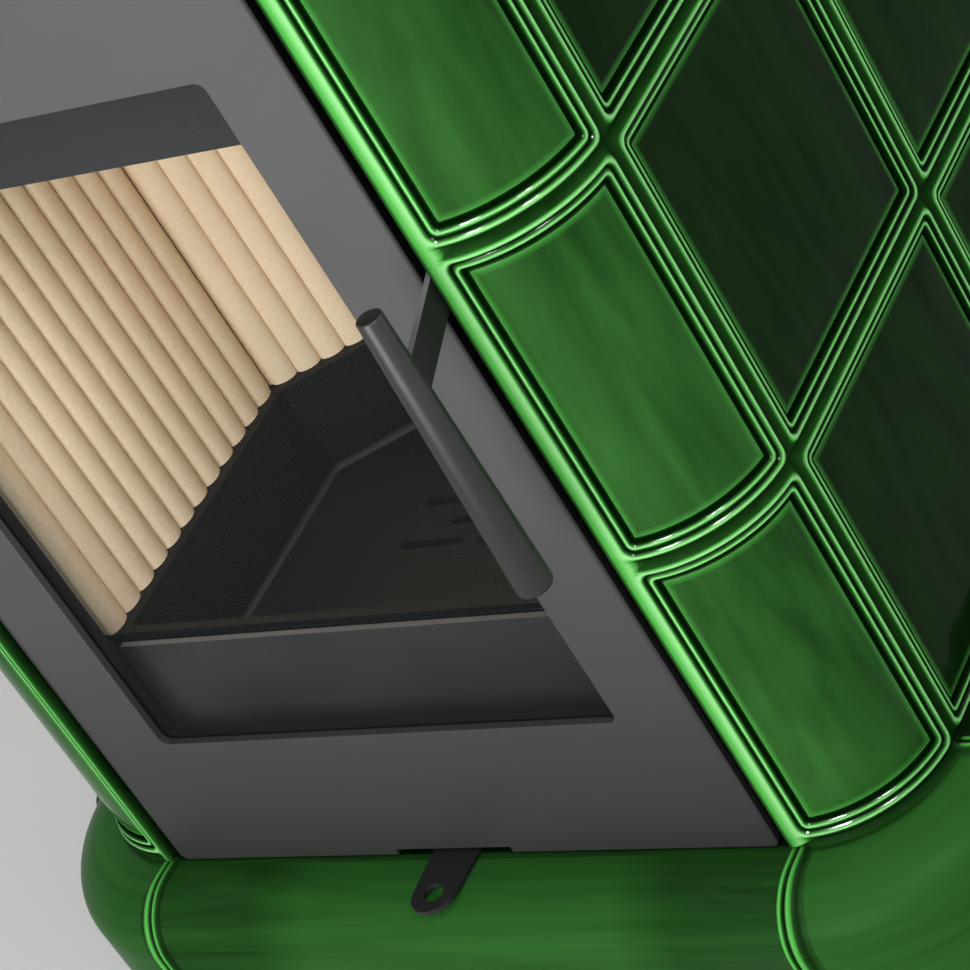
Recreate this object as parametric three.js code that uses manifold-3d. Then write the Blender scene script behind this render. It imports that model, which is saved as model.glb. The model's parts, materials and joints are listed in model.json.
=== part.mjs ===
// Tiled masonry heater with a glazed fire door, in millimetres.
// X runs to the right, Y from the door into the heater, Z up.
// While the pieces are made, Y is zero on the face of the door plate and Z is zero on the floor.
import * as THREE from "three";
import { mergeVertices } from "three/addons/utils/BufferGeometryUtils.js";
import Module from "manifold-3d";

const wasm = await Module();
wasm.setup();

// Tile module
const TILE_SIZE = 220;
const TILE_JOINT = 0.6;
const SIDE_COLUMNS = 2;
const LEAF_THICKNESS = 14;
const TILE_DEPTH = 48;
const RUMP_INSET = 6;

// Relief of a tile: two rounded ridges that step down from the edge to a sunk panel
const BORDER_WIDTH = 16.5;
const RELIEF_DEPTH = 4;
const RIDGE_CORNER_RADIUS = 7;
const CROWN_REACH = 15;
const CROWN_RISE = 1;
const BEAD_WIDTH = 3;
const BEAD_DROP = 3;
const BEAD_SHOULDER = 0.7;

// Corner of the heater
const CORNER_RADIUS = 77;

// Base course with its rounded nose
const PLINTH_HEIGHT = 50;
const PLINTH_RECESS = 32;
const BASE_HEIGHT = 220;
const BASE_REACH = 54;
const BASE_WALL = 52;
const BASE_SEAT = 43;
const BASE_SEAT_THICKNESS = 40;
const SILL_STEP = 0.4;
const NOSE_RADIUS = 36;
const END_BEAD_WIDTH = 6.5;
const END_BEAD_HEIGHT = 4;

// Cornice and cover slab
const CORNICE_HEIGHT = 110;
const CORNICE_REACH = 52;
const CORNICE_FOOT = 12;
const CORNICE_LIP = 8;
const CORNICE_ROUND = 20;
const SLAB_THICKNESS = 40;
const SLAB_INSET = 6;
const SLAB_ROUND = 8;

// Back wall and storage core
const BACK_WALL_THICKNESS = 50;
const CORE_MARGIN = 6;
const CORE_COVER = 60;

// Door plate with its window and its notch for the air lever
const DOOR_WIDTH = 456.5;
const DOOR_HEIGHT = 656;
const DOOR_THICKNESS = 5;
const DOOR_CORNER_RADIUS = 5;
const DOOR_GAP = 9;
const DOOR_DROP = 1;
const DOOR_HEAD_GAP = 5;
const WINDOW_SIDE = 55.25;
const WINDOW_SILL = 105.5;
const WINDOW_TOP_RAIL = 90;
const WINDOW_CORNER_RADIUS = 6;
const NOTCH_WIDTH = 88;
const NOTCH_DEPTH = 4.5;
const NOTCH_SHIFT = -5.5;

// Frame behind the door plate, glass and seal
const FRAME_MARGIN_SIDE = 14.25;
const FRAME_MARGIN_BOTTOM = 30;
const FRAME_MARGIN_TOP = 26;
const FRAME_DEPTH = 20.7;
const GLASS_LAP = 12;
const GLASS_THICKNESS = 4;
const GLASS_PLAY = 2;
const RETAINER_THICKNESS = 4;
const RETAINER_LAP = 9;
const SEAL_DIAMETER = 9.2;
const SEAL_MARGIN = 7;
const SEAL_SINK = 6;
const SEAL_PLAY = 0.4;

// Hinge
const HINGE_EDGE = 12;
const HINGE_DEPTH = 12;
const HINGE_ROD_RADIUS = 4;
const HINGE_BORE_PLAY = 0.3;
const BARREL_RADIUS = 6.5;
const BARREL_HEIGHT = 46;
const LUG_HEIGHT = 12;
const LUG_NECK = 7.5;
const ROD_OVERHANG = 4;
const ROD_HEAD_RADIUS = 6.3;
const ROD_HEAD_HEIGHT = 4;

// Handle lever on the right edge of the door
const PIVOT_DROP = 232.7;
const PIVOT_DEPTH = 13;
const PIVOT_RADIUS = 5;
const PIVOT_PLAY = 0.3;
const PIVOT_ENGAGEMENT = 24;
const ARM_THICKNESS = 4;
const ARM_HEIGHT = 20;
const ARM_FALL = 22.4;
const ARM_SEAT = 3;
const GRIP_TOP_STANDOFF = 51.1;
const GRIP_BOTTOM_STANDOFF = 55.3;
const GRIP_RISE = 24.1;
const GRIP_FALL = 160.5;
const GRIP_TOP_RADIUS = 7.5;
const GRIP_BOTTOM_RADIUS = 10.75;
const GRIP_CHAMFER = 0.8;
const GRIP_ROUND = 2.4;
const NOSE_PIECE_WIDTH = 6;
const NOSE_PIECE_LENGTH = 14.5;
const NOSE_PIECE_HEIGHT = 8;
const NOSE_PIECE_SPACE = 3.3;
const KEEPER_WIDTH = 11;
const KEEPER_THICKNESS = 4.5;
const KEEPER_REACH = 13;
const KEEPER_HEIGHT = 22;
const KEEPER_FOOT = 3;
const KEEPER_PLAY = 0.5;

// Air lever
const LEVER_THICKNESS = 3;
const LEVER_REACH = 47;
const LEVER_TIP_WIDTH = 32;
const LEVER_ROOT_WIDTH = 40;
const LEVER_HOLE_RADIUS = 7;
const LEVER_SHIFT = -6.5;
const SLIDE_TRAVEL = 22;
const SLIDE_WIDTH = 112;
const SLIDE_FRONT = 46;
const SLIDE_DEPTH = 48;
const SLIDE_PLAY = 2;
const PORT_WIDTH = 28;
const PORT_DEPTH = 22;
const PORT_PITCH = 56;

// Fire insert
const INSERT_FACE = 30;
const FRAME_PLATE = 6;
const FRAME_PLATE_MARGIN = 2.25;
const FRAME_PLATE_DROP = 3;
const MOUTH_MARGIN = 1;
const MOUTH_SILL = 63;
const MOUTH_DROP = 55;
const INSERT_SIDE_GAP = 3.25;
const INSERT_WALL = 6;
const INSERT_PLAY = 5;
const RAIL_WIDTH = 10;
const RAIL_HEIGHT = 6;
const NECK_RADIUS = 84;
const NECK_WALL = 4;
const NECK_HEIGHT = 38;
const NECK_DEPTH = 250;

// Firebox lining, trough and guard
const FIREBOX_FRONT = 43;
const FIREBOX_BEND = 272;
const FIREBOX_BACK = 347;
const FIREBOX_SLANT = 103;
const LINER_THICKNESS = 24;
const LINER_DROP = 26.7;
const LINER_JOINT = 0.8;
const RIB_PITCH = 19;
const RIB_DEPTH = 6;
const TROUGH_RIM = 161;
const TROUGH_DEPTH = 70;
const TROUGH_INSET = 7;
const TROUGH_WALL = 6;
const TROUGH_DRAFT = 9;
const TROUGH_FLANGE = 5;
const FLANGE_LAP = 2;
const SLOT_LENGTH = 50;
const SLOT_WIDTH = 7;
const SLOT_PITCH = 62;
const SLOT_ROW_PITCH = 20;
const SLOT_MIDDLE = 202;
const GUARD_SIDE_GAP = 9;
const GUARD_THICKNESS = 4;
const GUARD_DEPTH = 31;
const GUARD_RISE = 1;
const AIR_WASH_DROP = 63;
const AIR_WASH_LAP = 10;
const AIR_WASH_THICKNESS = 3.5;
const AIR_WASH_SIDE = 5;
const BAFFLE_THICKNESS = 22;
const BAFFLE_FRONT = 112;
const BAFFLE_LAP = 18;

// Flue outlet
const FLUE_RADIUS = 84;
const FLUE_WALL = 4;
const FLUE_HEIGHT = 120;
const FLUE_SPIGOT = 24;
const FLUE_SOCKET = 30;
const FLUE_FLANGE_RADIUS = 105;
const FLUE_FLANGE_THICKNESS = 6;

// General clearances
const SEAT_GAP = 0.3;
const CUT_OVERRUN = 3;

// Counts
const ARC_STEPS = 8;
const TILE_CORNER_STEPS = 2;
const PLATE_ARC_STEPS = 3;
const ROUND_STEPS = 24;
const SMALL_ROUND_STEPS = 16;
const GRIP_ROUND_STEPS = 2;
const RIB_STEPS = 4;
const ROPE_SIDES = 8;
const SLOTS_IN_ROWS = [3, 2, 3];

// Each row: share of the border's width, of the relief's depth and of the ridge's corner radius
const RELIEF_SHARES = [
  [0, 1, 0.12],
  [0.133, 0.75, 0.5],
  [0.333, 0, 1],
  [0.515, 0.6, 0.7],
  [0.685, 0.375, 0.5],
  [0.848, 1.2, 0.28],
  [1, 1, 0.12],
];
// Each row: share of the bead's width, share of its height
const END_BEAD_SHARES = [
  [0, 0.3],
  [0.2, 0.9],
  [0.45, 1],
  [0.75, 0.7],
  [1, 0],
];

// Places worked out from the sizes
const tileLine = PLINTH_HEIGHT + BASE_HEIGHT;
const doorHalf = DOOR_WIDTH / 2;
const doorBottom = tileLine - DOOR_DROP;
const doorTop = doorBottom + DOOR_HEIGHT;
const cornerEdge = doorHalf + DOOR_GAP;
const cornerCentreX = cornerEdge + BEAD_WIDTH;
const cornerArc = (CORNER_RADIUS * Math.PI) / 2;
const cornerEnd = cornerCentreX + cornerArc;
const sideEnd = cornerEnd + SIDE_COLUMNS * TILE_SIZE;
const sidePlane = cornerCentreX + CORNER_RADIUS;
const backPlane = CORNER_RADIUS + SIDE_COLUMNS * TILE_SIZE;
const innerWall = sidePlane - TILE_DEPTH;
const leverTop = doorBottom - SEAT_GAP;
const leverBottom = leverTop - LEVER_THICKNESS;
const sillZ = leverBottom - SEAT_GAP;
const baseTop = sillZ - SILL_STEP;
const baseInnerOut = BASE_REACH - BASE_WALL;
const seatBottom = tileLine - BASE_SEAT_THICKNESS;
const frameFront = DOOR_THICKNESS + SEAT_GAP;
const frameHalf = doorHalf - FRAME_MARGIN_SIDE;
const frameBottom = doorBottom + FRAME_MARGIN_BOTTOM;
const frameTop = doorTop - FRAME_MARGIN_TOP;
const frameBack = frameFront + FRAME_DEPTH;
const windowHalf = doorHalf - WINDOW_SIDE;
const windowBottom = doorBottom + WINDOW_SILL;
const windowTop = doorTop - WINDOW_TOP_RAIL;
const glassHalf = windowHalf + GLASS_LAP;
const hingeX = HINGE_EDGE - doorHalf;
const pivotZ = doorTop - PIVOT_DROP;
const armX = doorHalf + DOOR_GAP / 2;
const insertBottom = leverTop + SEAT_GAP;
const insertTop = doorTop + DOOR_HEAD_GAP;
const insertHalf = cornerEdge - INSERT_SIDE_GAP;
const insertInnerHalf = insertHalf - INSERT_WALL;
const fireboxHalf = insertInnerHalf - INSERT_PLAY - LINER_THICKNESS;
const mouthHalf = fireboxHalf + MOUTH_MARGIN;
const mouthBottom = doorBottom + MOUTH_SILL;
const mouthTop = doorTop - MOUTH_DROP;
const framePlateBack = INSERT_FACE + FRAME_PLATE;
const insertFront = framePlateBack + SEAT_GAP;
const rimZ = doorBottom + TROUGH_RIM;
const linerBottom = rimZ + SEAT_GAP;
const linerTop = mouthTop - LINER_DROP;
const insertBack = FIREBOX_BACK + LINER_THICKNESS + INSERT_PLAY + INSERT_WALL;
const coreBottom = insertTop + SEAT_GAP;
const backWallFront = backPlane - BACK_WALL_THICKNESS;
const coreBack = backWallFront - CORE_MARGIN;
const flueZ = coreBottom + FLUE_HEIGHT;
const flueTop = flueZ + FLUE_RADIUS + CORE_COVER;
const courses = Math.ceil((flueTop - CORNICE_HEIGHT - tileLine) / TILE_SIZE);
const tileTop = tileLine + courses * TILE_SIZE;
const corniceTop = tileTop + CORNICE_HEIGHT;

// Materials
function finish(name, colour, roughness, metalness) {
  return new THREE.MeshStandardMaterial({ name, color: colour, roughness, metalness });
}

const greenGlaze = finish("green_glaze", 0x2f7a2c, 0.12, 0);
const darkGlaze = finish("dark_green_glaze", 0x1d5220, 0.12, 0);
const doorSteel = finish("door_steel", 0x565656, 0.42, 0.55);
const blackSteel = finish("black_steel", 0x232323, 0.5, 0.4);
const gripSteel = finish("grip_steel", 0x474747, 0.34, 0.7);
const castIron = finish("cast_iron", 0x333236, 0.68, 0.35);
const bodySteel = finish("insert_steel", 0x2b2b2c, 0.6, 0.5);
const liningBoard = finish("lining_board", 0xdcc9a3, 0.85, 0);
const fireclay = finish("fireclay", 0xb9a184, 0.9, 0);
const ropeFibre = finish("seal_rope", 0x3b3b3a, 0.95, 0);
const paneGlass = finish("fire_glass", 0xbfc7c4, 0.05, 0);

// Groups of the pieces that move together; the handle rides on the door
const heater = new THREE.Group();
const door = new THREE.Group();
const handle = new THREE.Group();
const airControl = new THREE.Group();
door.add(handle);
heater.add(door, airControl);

function addPiece(name, geometry, material, { mirrored = false, group = heater } = {}) {
  const mesh = new THREE.Mesh(geometry, material);
  mesh.name = name;
  if (mirrored) mesh.scale.x = -1;
  group.add(mesh);
}

// Mesh building
function meshOf(points, triangles) {
  const geometry = new THREE.BufferGeometry();
  const positions = points.flatMap((point) => [point.x, point.y, point.z]);
  geometry.setAttribute("position", new THREE.Float32BufferAttribute(positions, 3));
  geometry.setIndex(triangles.flat());
  return geometry;
}

// Joins loops of equal length, then closes both ends with the given triangles of one loop
function loft(loops, startCap, endCap) {
  const count = loops[0].length;
  const triangles = [];
  for (let ring = 0; ring + 1 < loops.length; ring++) {
    for (let i = 0; i < count; i++) {
      const next = (i + 1) % count;
      const a = ring * count + i;
      const b = ring * count + next;
      const c = (ring + 1) * count + next;
      const d = (ring + 1) * count + i;
      triangles.push([a, b, c], [a, c, d]);
    }
  }
  const last = (loops.length - 1) * count;
  startCap.forEach(([a, b, c]) => triangles.push([a, c, b]));
  endCap.forEach(([a, b, c]) => triangles.push([last + a, last + b, last + c]));
  return meshOf(loops.flat(), triangles);
}

// Joins loops into a closed ring, as for a rope laid round a frame
function closedLoft(loops) {
  const count = loops[0].length;
  const triangles = [];
  loops.forEach((loop, ring) => {
    const following = (ring + 1) % loops.length;
    loop.forEach((point, i) => {
      const next = (i + 1) % count;
      const a = ring * count + i;
      const b = ring * count + next;
      const c = following * count + next;
      const d = following * count + i;
      triangles.push([a, b, c], [a, c, d]);
    });
  });
  return meshOf(loops.flat(), triangles);
}

function solid(geometry) {
  const bare = geometry.clone();
  bare.deleteAttribute("normal");
  bare.deleteAttribute("uv");
  const merged = mergeVertices(bare);
  return new wasm.Manifold(
    new wasm.Mesh({
      numProp: 3,
      vertProperties: new Float32Array(merged.attributes.position.array),
      triVerts: new Uint32Array(merged.index.array),
    }),
  );
}

function geometryOf(manifold) {
  const mesh = manifold.getMesh();
  const geometry = new THREE.BufferGeometry();
  geometry.setAttribute("position", new THREE.BufferAttribute(mesh.vertProperties, 3));
  geometry.setIndex(new THREE.BufferAttribute(mesh.triVerts, 1));
  return geometry;
}

function box(x0, x1, y0, y1, z0, z1) {
  const geometry = new THREE.BoxGeometry(x1 - x0, y1 - y0, z1 - z0);
  geometry.translate((x0 + x1) / 2, (y0 + y1) / 2, (z0 + z1) / 2);
  return geometry;
}

// Outlines
function roundedRectangle(x0, x1, z0, z1, radius) {
  const path = new THREE.Shape();
  path.moveTo(x0 + radius, z0);
  path.lineTo(x1 - radius, z0);
  path.absarc(x1 - radius, z0 + radius, radius, -Math.PI / 2, 0);
  path.lineTo(x1, z1 - radius);
  path.absarc(x1 - radius, z1 - radius, radius, 0, Math.PI / 2);
  path.lineTo(x0 + radius, z1);
  path.absarc(x0 + radius, z1 - radius, radius, Math.PI / 2, Math.PI);
  path.lineTo(x0, z0 + radius);
  path.absarc(x0 + radius, z0 + radius, radius, Math.PI, Math.PI * 1.5);
  return path;
}

function extruded(shape, depth) {
  return new THREE.ExtrudeGeometry(shape, {
    depth,
    bevelEnabled: false,
    curveSegments: PLATE_ARC_STEPS,
  });
}

// A plate that stands upright, facing the door side: outline in X and Z
function uprightPlate(shape, front, thickness) {
  const geometry = extruded(shape, thickness);
  geometry.rotateX(Math.PI / 2);
  geometry.translate(0, front + thickness, 0);
  return geometry;
}

// A plate that stands across X: outline in Y and Z
function crossPlate(shape, start, thickness) {
  const geometry = extruded(shape, thickness);
  const axes = new THREE.Matrix4().makeBasis(
    new THREE.Vector3(0, 1, 0),
    new THREE.Vector3(0, 0, 1),
    new THREE.Vector3(1, 0, 0),
  );
  geometry.applyMatrix4(axes);
  geometry.translate(start, 0, 0);
  return geometry;
}

// A column that stands on a plan outline in X and Y
function column(shape, bottom, height) {
  const geometry = extruded(shape, height);
  geometry.translate(0, 0, bottom);
  return geometry;
}

function cylinderAlongX(radius, x0, x1, y, z, steps) {
  const geometry = new THREE.CylinderGeometry(radius, radius, x1 - x0, steps);
  geometry.rotateZ(Math.PI / 2);
  geometry.translate((x0 + x1) / 2, y, z);
  return geometry;
}

function cylinderAlongY(radius, y0, y1, x, z, steps) {
  const geometry = new THREE.CylinderGeometry(radius, radius, y1 - y0, steps);
  geometry.translate(x, (y0 + y1) / 2, z);
  return geometry;
}

function cylinderAlongZ(radius, z0, z1, x, y, steps) {
  const geometry = new THREE.CylinderGeometry(radius, radius, z1 - z0, steps);
  geometry.rotateX(Math.PI / 2);
  geometry.translate(x, y, (z0 + z1) / 2);
  return geometry;
}

// A point of the wall: distance along it from the middle of the front, and distance out of it
function wallPoint(along, out, z) {
  const side = along < 0 ? -1 : 1;
  const run = Math.abs(along);
  if (run <= cornerCentreX) {
    return new THREE.Vector3(along, -out, z);
  }
  const turned = (run - cornerCentreX) / CORNER_RADIUS;
  if (turned <= Math.PI / 2) {
    const reach = CORNER_RADIUS + out;
    return new THREE.Vector3(
      side * (cornerCentreX + reach * Math.sin(turned)),
      CORNER_RADIUS - reach * Math.cos(turned),
      z,
    );
  }
  return new THREE.Vector3(side * (sidePlane + out), CORNER_RADIUS + run - cornerEnd, z);
}

// A rounded loop in the wall's own plane: its bottom from left to right, then its top back again
function tileLoop(left, right, bottom, top, radius, steps) {
  const corner = (centreAlong, centreZ, from) => {
    const points = [];
    for (let i = 0; i <= TILE_CORNER_STEPS; i++) {
      const angle = from + (Math.PI / 2) * (i / TILE_CORNER_STEPS);
      points.push([centreAlong + radius * Math.cos(angle), centreZ + radius * Math.sin(angle)]);
    }
    return points;
  };
  const between = (from, to, z) => {
    const points = [];
    for (let i = 1; i < steps; i++) {
      points.push([from + (to - from) * (i / steps), z]);
    }
    return points;
  };
  return [
    ...corner(left + radius, bottom + radius, Math.PI),
    ...between(left + radius, right - radius, bottom),
    ...corner(right - radius, bottom + radius, Math.PI * 1.5),
    ...corner(right - radius, top - radius, 0),
    ...between(right - radius, left + radius, top),
    ...corner(left + radius, top - radius, Math.PI / 2),
  ];
}

// Closes such a loop with upright strips, so that it follows a curved wall
function stripCap(count) {
  const triangles = [];
  for (let i = 0; i + 1 < count / 2; i++) {
    const above = count - 1 - i;
    triangles.push([i, i + 1, above - 1], [i, above - 1, above]);
  }
  return triangles;
}

// A stove tile: a rump at the back, a full-size leaf, two rounded ridges and a crowned panel.
// A tile beside the door has a wider bead on that side, and its rump runs back as the jamb.
function reliefTile(from, to, bottom, top, steps, beaded) {
  const left = from + TILE_JOINT / 2;
  const right = to - TILE_JOINT / 2;
  const low = bottom + TILE_JOINT / 2;
  const high = top - TILE_JOINT / 2;
  const sharp = RIDGE_CORNER_RADIUS * RELIEF_SHARES[0][2];
  const ring = (inset, out, radius, leftInset = inset, leftOut = out) => {
    const edge = left + leftInset;
    const loop = tileLoop(edge, right - inset, low + inset, high - inset, radius, steps);
    return loop.map(([along, z]) => {
      const height = along < edge + radius / 2 ? leftOut : out;
      return wallPoint(along, height, z);
    });
  };
  const jambInset = beaded ? 0 : RUMP_INSET;
  const loops = [
    ring(RUMP_INSET, -TILE_DEPTH, sharp, jambInset),
    ring(RUMP_INSET, -LEAF_THICKNESS, sharp, jambInset),
    ring(0, -LEAF_THICKNESS, sharp),
  ];
  RELIEF_SHARES.forEach(([borderShare, depthShare, cornerShare], i) => {
    const inset = BORDER_WIDTH * borderShare;
    const out = -RELIEF_DEPTH * depthShare;
    const radius = RIDGE_CORNER_RADIUS * cornerShare;
    if (!beaded) {
      loops.push(ring(inset, out, radius));
    } else if (i === 0) {
      loops.push(ring(inset, out, radius, 0, -BEAD_DROP));
    } else if (i === 1) {
      loops.push(ring(inset, out, radius, BEAD_WIDTH / 2, -BEAD_SHOULDER));
    } else {
      loops.push(ring(inset, out, radius, inset + BEAD_WIDTH));
    }
  });
  const crownInset = BORDER_WIDTH + CROWN_REACH;
  loops.push(ring(crownInset, CROWN_RISE - RELIEF_DEPTH, sharp));
  const cap = stripCap(loops[0].length);
  return loft(loops, cap, cap);
}

// Tiles of the shell: the corner tiles start at the jamb beside the door
const jambEdge = cornerEdge - TILE_JOINT / 2;
for (let course = 1; course <= courses; course++) {
  const bottom = tileLine + (course - 1) * TILE_SIZE;
  const top = bottom + TILE_SIZE;
  for (const side of ["right", "left"]) {
    const mirrored = side === "left";
    const cornerTile = reliefTile(jambEdge, cornerEnd, bottom, top, ARC_STEPS, true);
    addPiece(`corner_tile_${side}_${course}`, cornerTile, greenGlaze, { mirrored });
    for (let tile = 1; tile <= SIDE_COLUMNS; tile++) {
      const start = cornerEnd + (tile - 1) * TILE_SIZE;
      const sideTile = reliefTile(start, start + TILE_SIZE, bottom, top, 1, false);
      addPiece(`side_tile_${side}_${course}_${tile}`, sideTile, darkGlaze, { mirrored });
    }
  }
}
for (const side of ["right", "left"]) {
  const frontTile = reliefTile(0, jambEdge, insertTop, tileTop, 1, false);
  addPiece(`front_tile_${side}`, frontTile, greenGlaze, { mirrored: side === "left" });
}

// Triangles that fill an outline, wound the way the outline runs
function capOf(outline) {
  const triangles = THREE.ShapeUtils.triangulateShape(outline, []);
  if (!THREE.ShapeUtils.isClockWise(outline)) return triangles;
  return triangles.map(([a, b, c]) => [a, c, b]);
}

// Draws a closed profile of the wall along the wall; each station says how far its bead stands up
function wallMoulding(profileAt, stations) {
  const loops = stations.map(([along, rise]) =>
    profileAt(rise).map(([out, z]) => wallPoint(along, out, z)),
  );
  const cap = capOf(profileAt(0).map(([out, z]) => new THREE.Vector2(out, z)));
  return loft(loops, cap, cap);
}

// Stations from one end of a piece to the other, with a rounded bead at each end
function beadedStations(from, to, steps) {
  const start = from + TILE_JOINT / 2;
  const end = to - TILE_JOINT / 2;
  const rising = END_BEAD_SHARES.map(([widthShare, heightShare]) => [
    start + END_BEAD_WIDTH * widthShare,
    END_BEAD_HEIGHT * heightShare,
  ]);
  const falling = END_BEAD_SHARES.map(([widthShare, heightShare]) => [
    end - END_BEAD_WIDTH * widthShare,
    END_BEAD_HEIGHT * heightShare,
  ]).reverse();
  const between = [];
  const inner = [start + END_BEAD_WIDTH, end - END_BEAD_WIDTH];
  for (let i = 1; i < steps; i++) {
    between.push([inner[0] + (inner[1] - inner[0]) * (i / steps), 0]);
  }
  return [...rising, ...between, ...falling];
}

// Base tile profile: upright face, rounded nose, flat top and a seat for the tiles above
function baseProfile(seatZ) {
  return (rise) => {
    const bottom = PLINTH_HEIGHT + SEAT_GAP;
    const top = baseTop + rise;
    const seat = Math.max(seatZ, top);
    const radius = NOSE_RADIUS + rise;
    const centreOut = BASE_REACH - END_BEAD_HEIGHT - NOSE_RADIUS;
    const centreZ = baseTop - NOSE_RADIUS;
    const points = [
      [-BASE_SEAT, seatZ],
      [-RELIEF_DEPTH, seat],
      [-RELIEF_DEPTH / 2, top],
    ];
    for (let i = 0; i <= ARC_STEPS; i++) {
      const angle = (Math.PI / 2) * (1 - i / ARC_STEPS);
      points.push([centreOut + radius * Math.cos(angle), centreZ + radius * Math.sin(angle)]);
    }
    points.push([centreOut + radius, bottom]);
    points.push([baseInnerOut, bottom]);
    points.push([baseInnerOut, seatBottom]);
    points.push([-BASE_SEAT, seatBottom]);
    return points;
  };
}

const frontStations = beadedStations(-cornerCentreX, cornerCentreX, 1);
const baseFront = wallMoulding(baseProfile(sillZ), frontStations);
addPiece("base_tile_front", baseFront, greenGlaze);
for (const side of ["right", "left"]) {
  const mirrored = side === "left";
  const cornerStations = beadedStations(cornerCentreX, cornerEnd, ARC_STEPS);
  const corner = wallMoulding(baseProfile(tileLine), cornerStations);
  addPiece(`base_tile_corner_${side}`, corner, greenGlaze, { mirrored });
  const flank = wallMoulding(baseProfile(tileLine), beadedStations(cornerEnd, sideEnd, 1));
  addPiece(`base_tile_side_${side}`, flank, darkGlaze, { mirrored });
}

// Cornice: foot, hollow, lip and rounded top
function corniceProfile() {
  const hollow = CORNICE_REACH - CORNICE_LIP;
  const bottom = tileTop + SEAT_GAP;
  const hollowTop = bottom + CORNICE_FOOT + hollow;
  const points = [[-TILE_DEPTH, corniceTop]];
  for (let i = 0; i <= PLATE_ARC_STEPS; i++) {
    const angle = (Math.PI / 2) * (1 - i / PLATE_ARC_STEPS);
    points.push([
      CORNICE_REACH - CORNICE_ROUND + CORNICE_ROUND * Math.cos(angle),
      corniceTop - CORNICE_ROUND + CORNICE_ROUND * Math.sin(angle),
    ]);
  }
  points.push([CORNICE_REACH, hollowTop]);
  for (let i = 0; i <= ARC_STEPS; i++) {
    const angle = (Math.PI / 2) * (1 + i / ARC_STEPS);
    points.push([
      hollow + hollow * Math.cos(angle),
      bottom + CORNICE_FOOT + hollow * Math.sin(angle),
    ]);
  }
  points.push([0, bottom], [-TILE_DEPTH, bottom]);
  return points;
}

// Stations of the front cornice: its ends and the turns of both corners
const corniceStations = [];
for (const side of [-1, 1]) {
  for (let i = 0; i <= ARC_STEPS; i++) {
    const turn = side < 0 ? ARC_STEPS - i : i;
    const end = turn === ARC_STEPS ? TILE_JOINT / 2 : 0;
    corniceStations.push([side * (cornerCentreX + cornerArc * (turn / ARC_STEPS) - end), 0]);
  }
}
const flankStations = [
  [cornerEnd + TILE_JOINT / 2, 0],
  [sideEnd, 0],
];
addPiece("cornice_front", wallMoulding(corniceProfile, corniceStations), greenGlaze);
for (const side of ["right", "left"]) {
  const flank = wallMoulding(corniceProfile, flankStations);
  addPiece(`cornice_${side}`, flank, darkGlaze, { mirrored: side === "left" });
}

// Plan of the heater grown by a distance, with its back edge where it is
function planOutline(out, back) {
  const half = sidePlane + out;
  const radius = CORNER_RADIUS + out;
  const outline = new THREE.Shape();
  outline.moveTo(half, back);
  outline.lineTo(-half, back);
  outline.lineTo(-half, CORNER_RADIUS);
  outline.absarc(-cornerCentreX, CORNER_RADIUS, radius, Math.PI, Math.PI * 1.5);
  outline.lineTo(cornerCentreX, -out);
  outline.absarc(cornerCentreX, CORNER_RADIUS, radius, -Math.PI / 2, 0);
  return outline;
}

function planColumn(out, bottom, top, back = backPlane) {
  const geometry = new THREE.ExtrudeGeometry(planOutline(out, back), {
    depth: top - bottom,
    bevelEnabled: false,
    curveSegments: ARC_STEPS,
  });
  geometry.translate(0, 0, bottom);
  return geometry;
}

// Cover slab with a rounded edge
const slabOutline = planOutline(CORNICE_REACH - SLAB_INSET - SLAB_ROUND, backPlane - SLAB_ROUND);
const slabBottom = corniceTop + SEAT_GAP;
const slabTop = corniceTop + SLAB_THICKNESS;
const coverSlab = new THREE.ExtrudeGeometry(slabOutline, {
  depth: slabTop - slabBottom - SLAB_ROUND * 2,
  bevelThickness: SLAB_ROUND,
  bevelSize: SLAB_ROUND,
  bevelSegments: 2,
  curveSegments: ARC_STEPS,
});
coverSlab.translate(0, 0, slabBottom + SLAB_ROUND);
addPiece("cover_slab", coverSlab, fireclay);

// Masonry base: plinth, block behind the base tiles, hearth, and a bed for the air slide
function masonryBase() {
  const plinth = planColumn(BASE_REACH - PLINTH_RECESS, 0, PLINTH_HEIGHT);
  const block = planColumn(baseInnerOut - SEAT_GAP, 0, seatBottom - SEAT_GAP);
  const hearth = planColumn(-BASE_SEAT - SEAT_GAP, 0, leverTop);
  const bed = box(
    LEVER_SHIFT - SLIDE_WIDTH / 2 - SLIDE_TRAVEL - SLIDE_PLAY,
    LEVER_SHIFT + SLIDE_WIDTH / 2 + SLIDE_TRAVEL + SLIDE_PLAY,
    BASE_SEAT - CUT_OVERRUN,
    SLIDE_FRONT + SLIDE_DEPTH + SLIDE_PLAY,
    leverBottom - SEAT_GAP,
    leverTop + CUT_OVERRUN,
  );
  return geometryOf(solid(plinth).add(solid(block)).add(solid(hearth)).subtract(solid(bed)));
}
addPiece("masonry_base", masonryBase(), fireclay);

// Back wall with the hole for the flue outlet
function backWall() {
  const half = innerWall - SEAT_GAP;
  const slab = box(-half, half, backWallFront, backPlane, insertBottom, corniceTop);
  const hole = cylinderAlongY(
    FLUE_RADIUS + SEAT_GAP,
    backWallFront - CUT_OVERRUN,
    backPlane + CUT_OVERRUN,
    0,
    flueZ,
    ROUND_STEPS,
  );
  return geometryOf(solid(slab).subtract(solid(hole)));
}
addPiece("back_wall", backWall(), fireclay);

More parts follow.
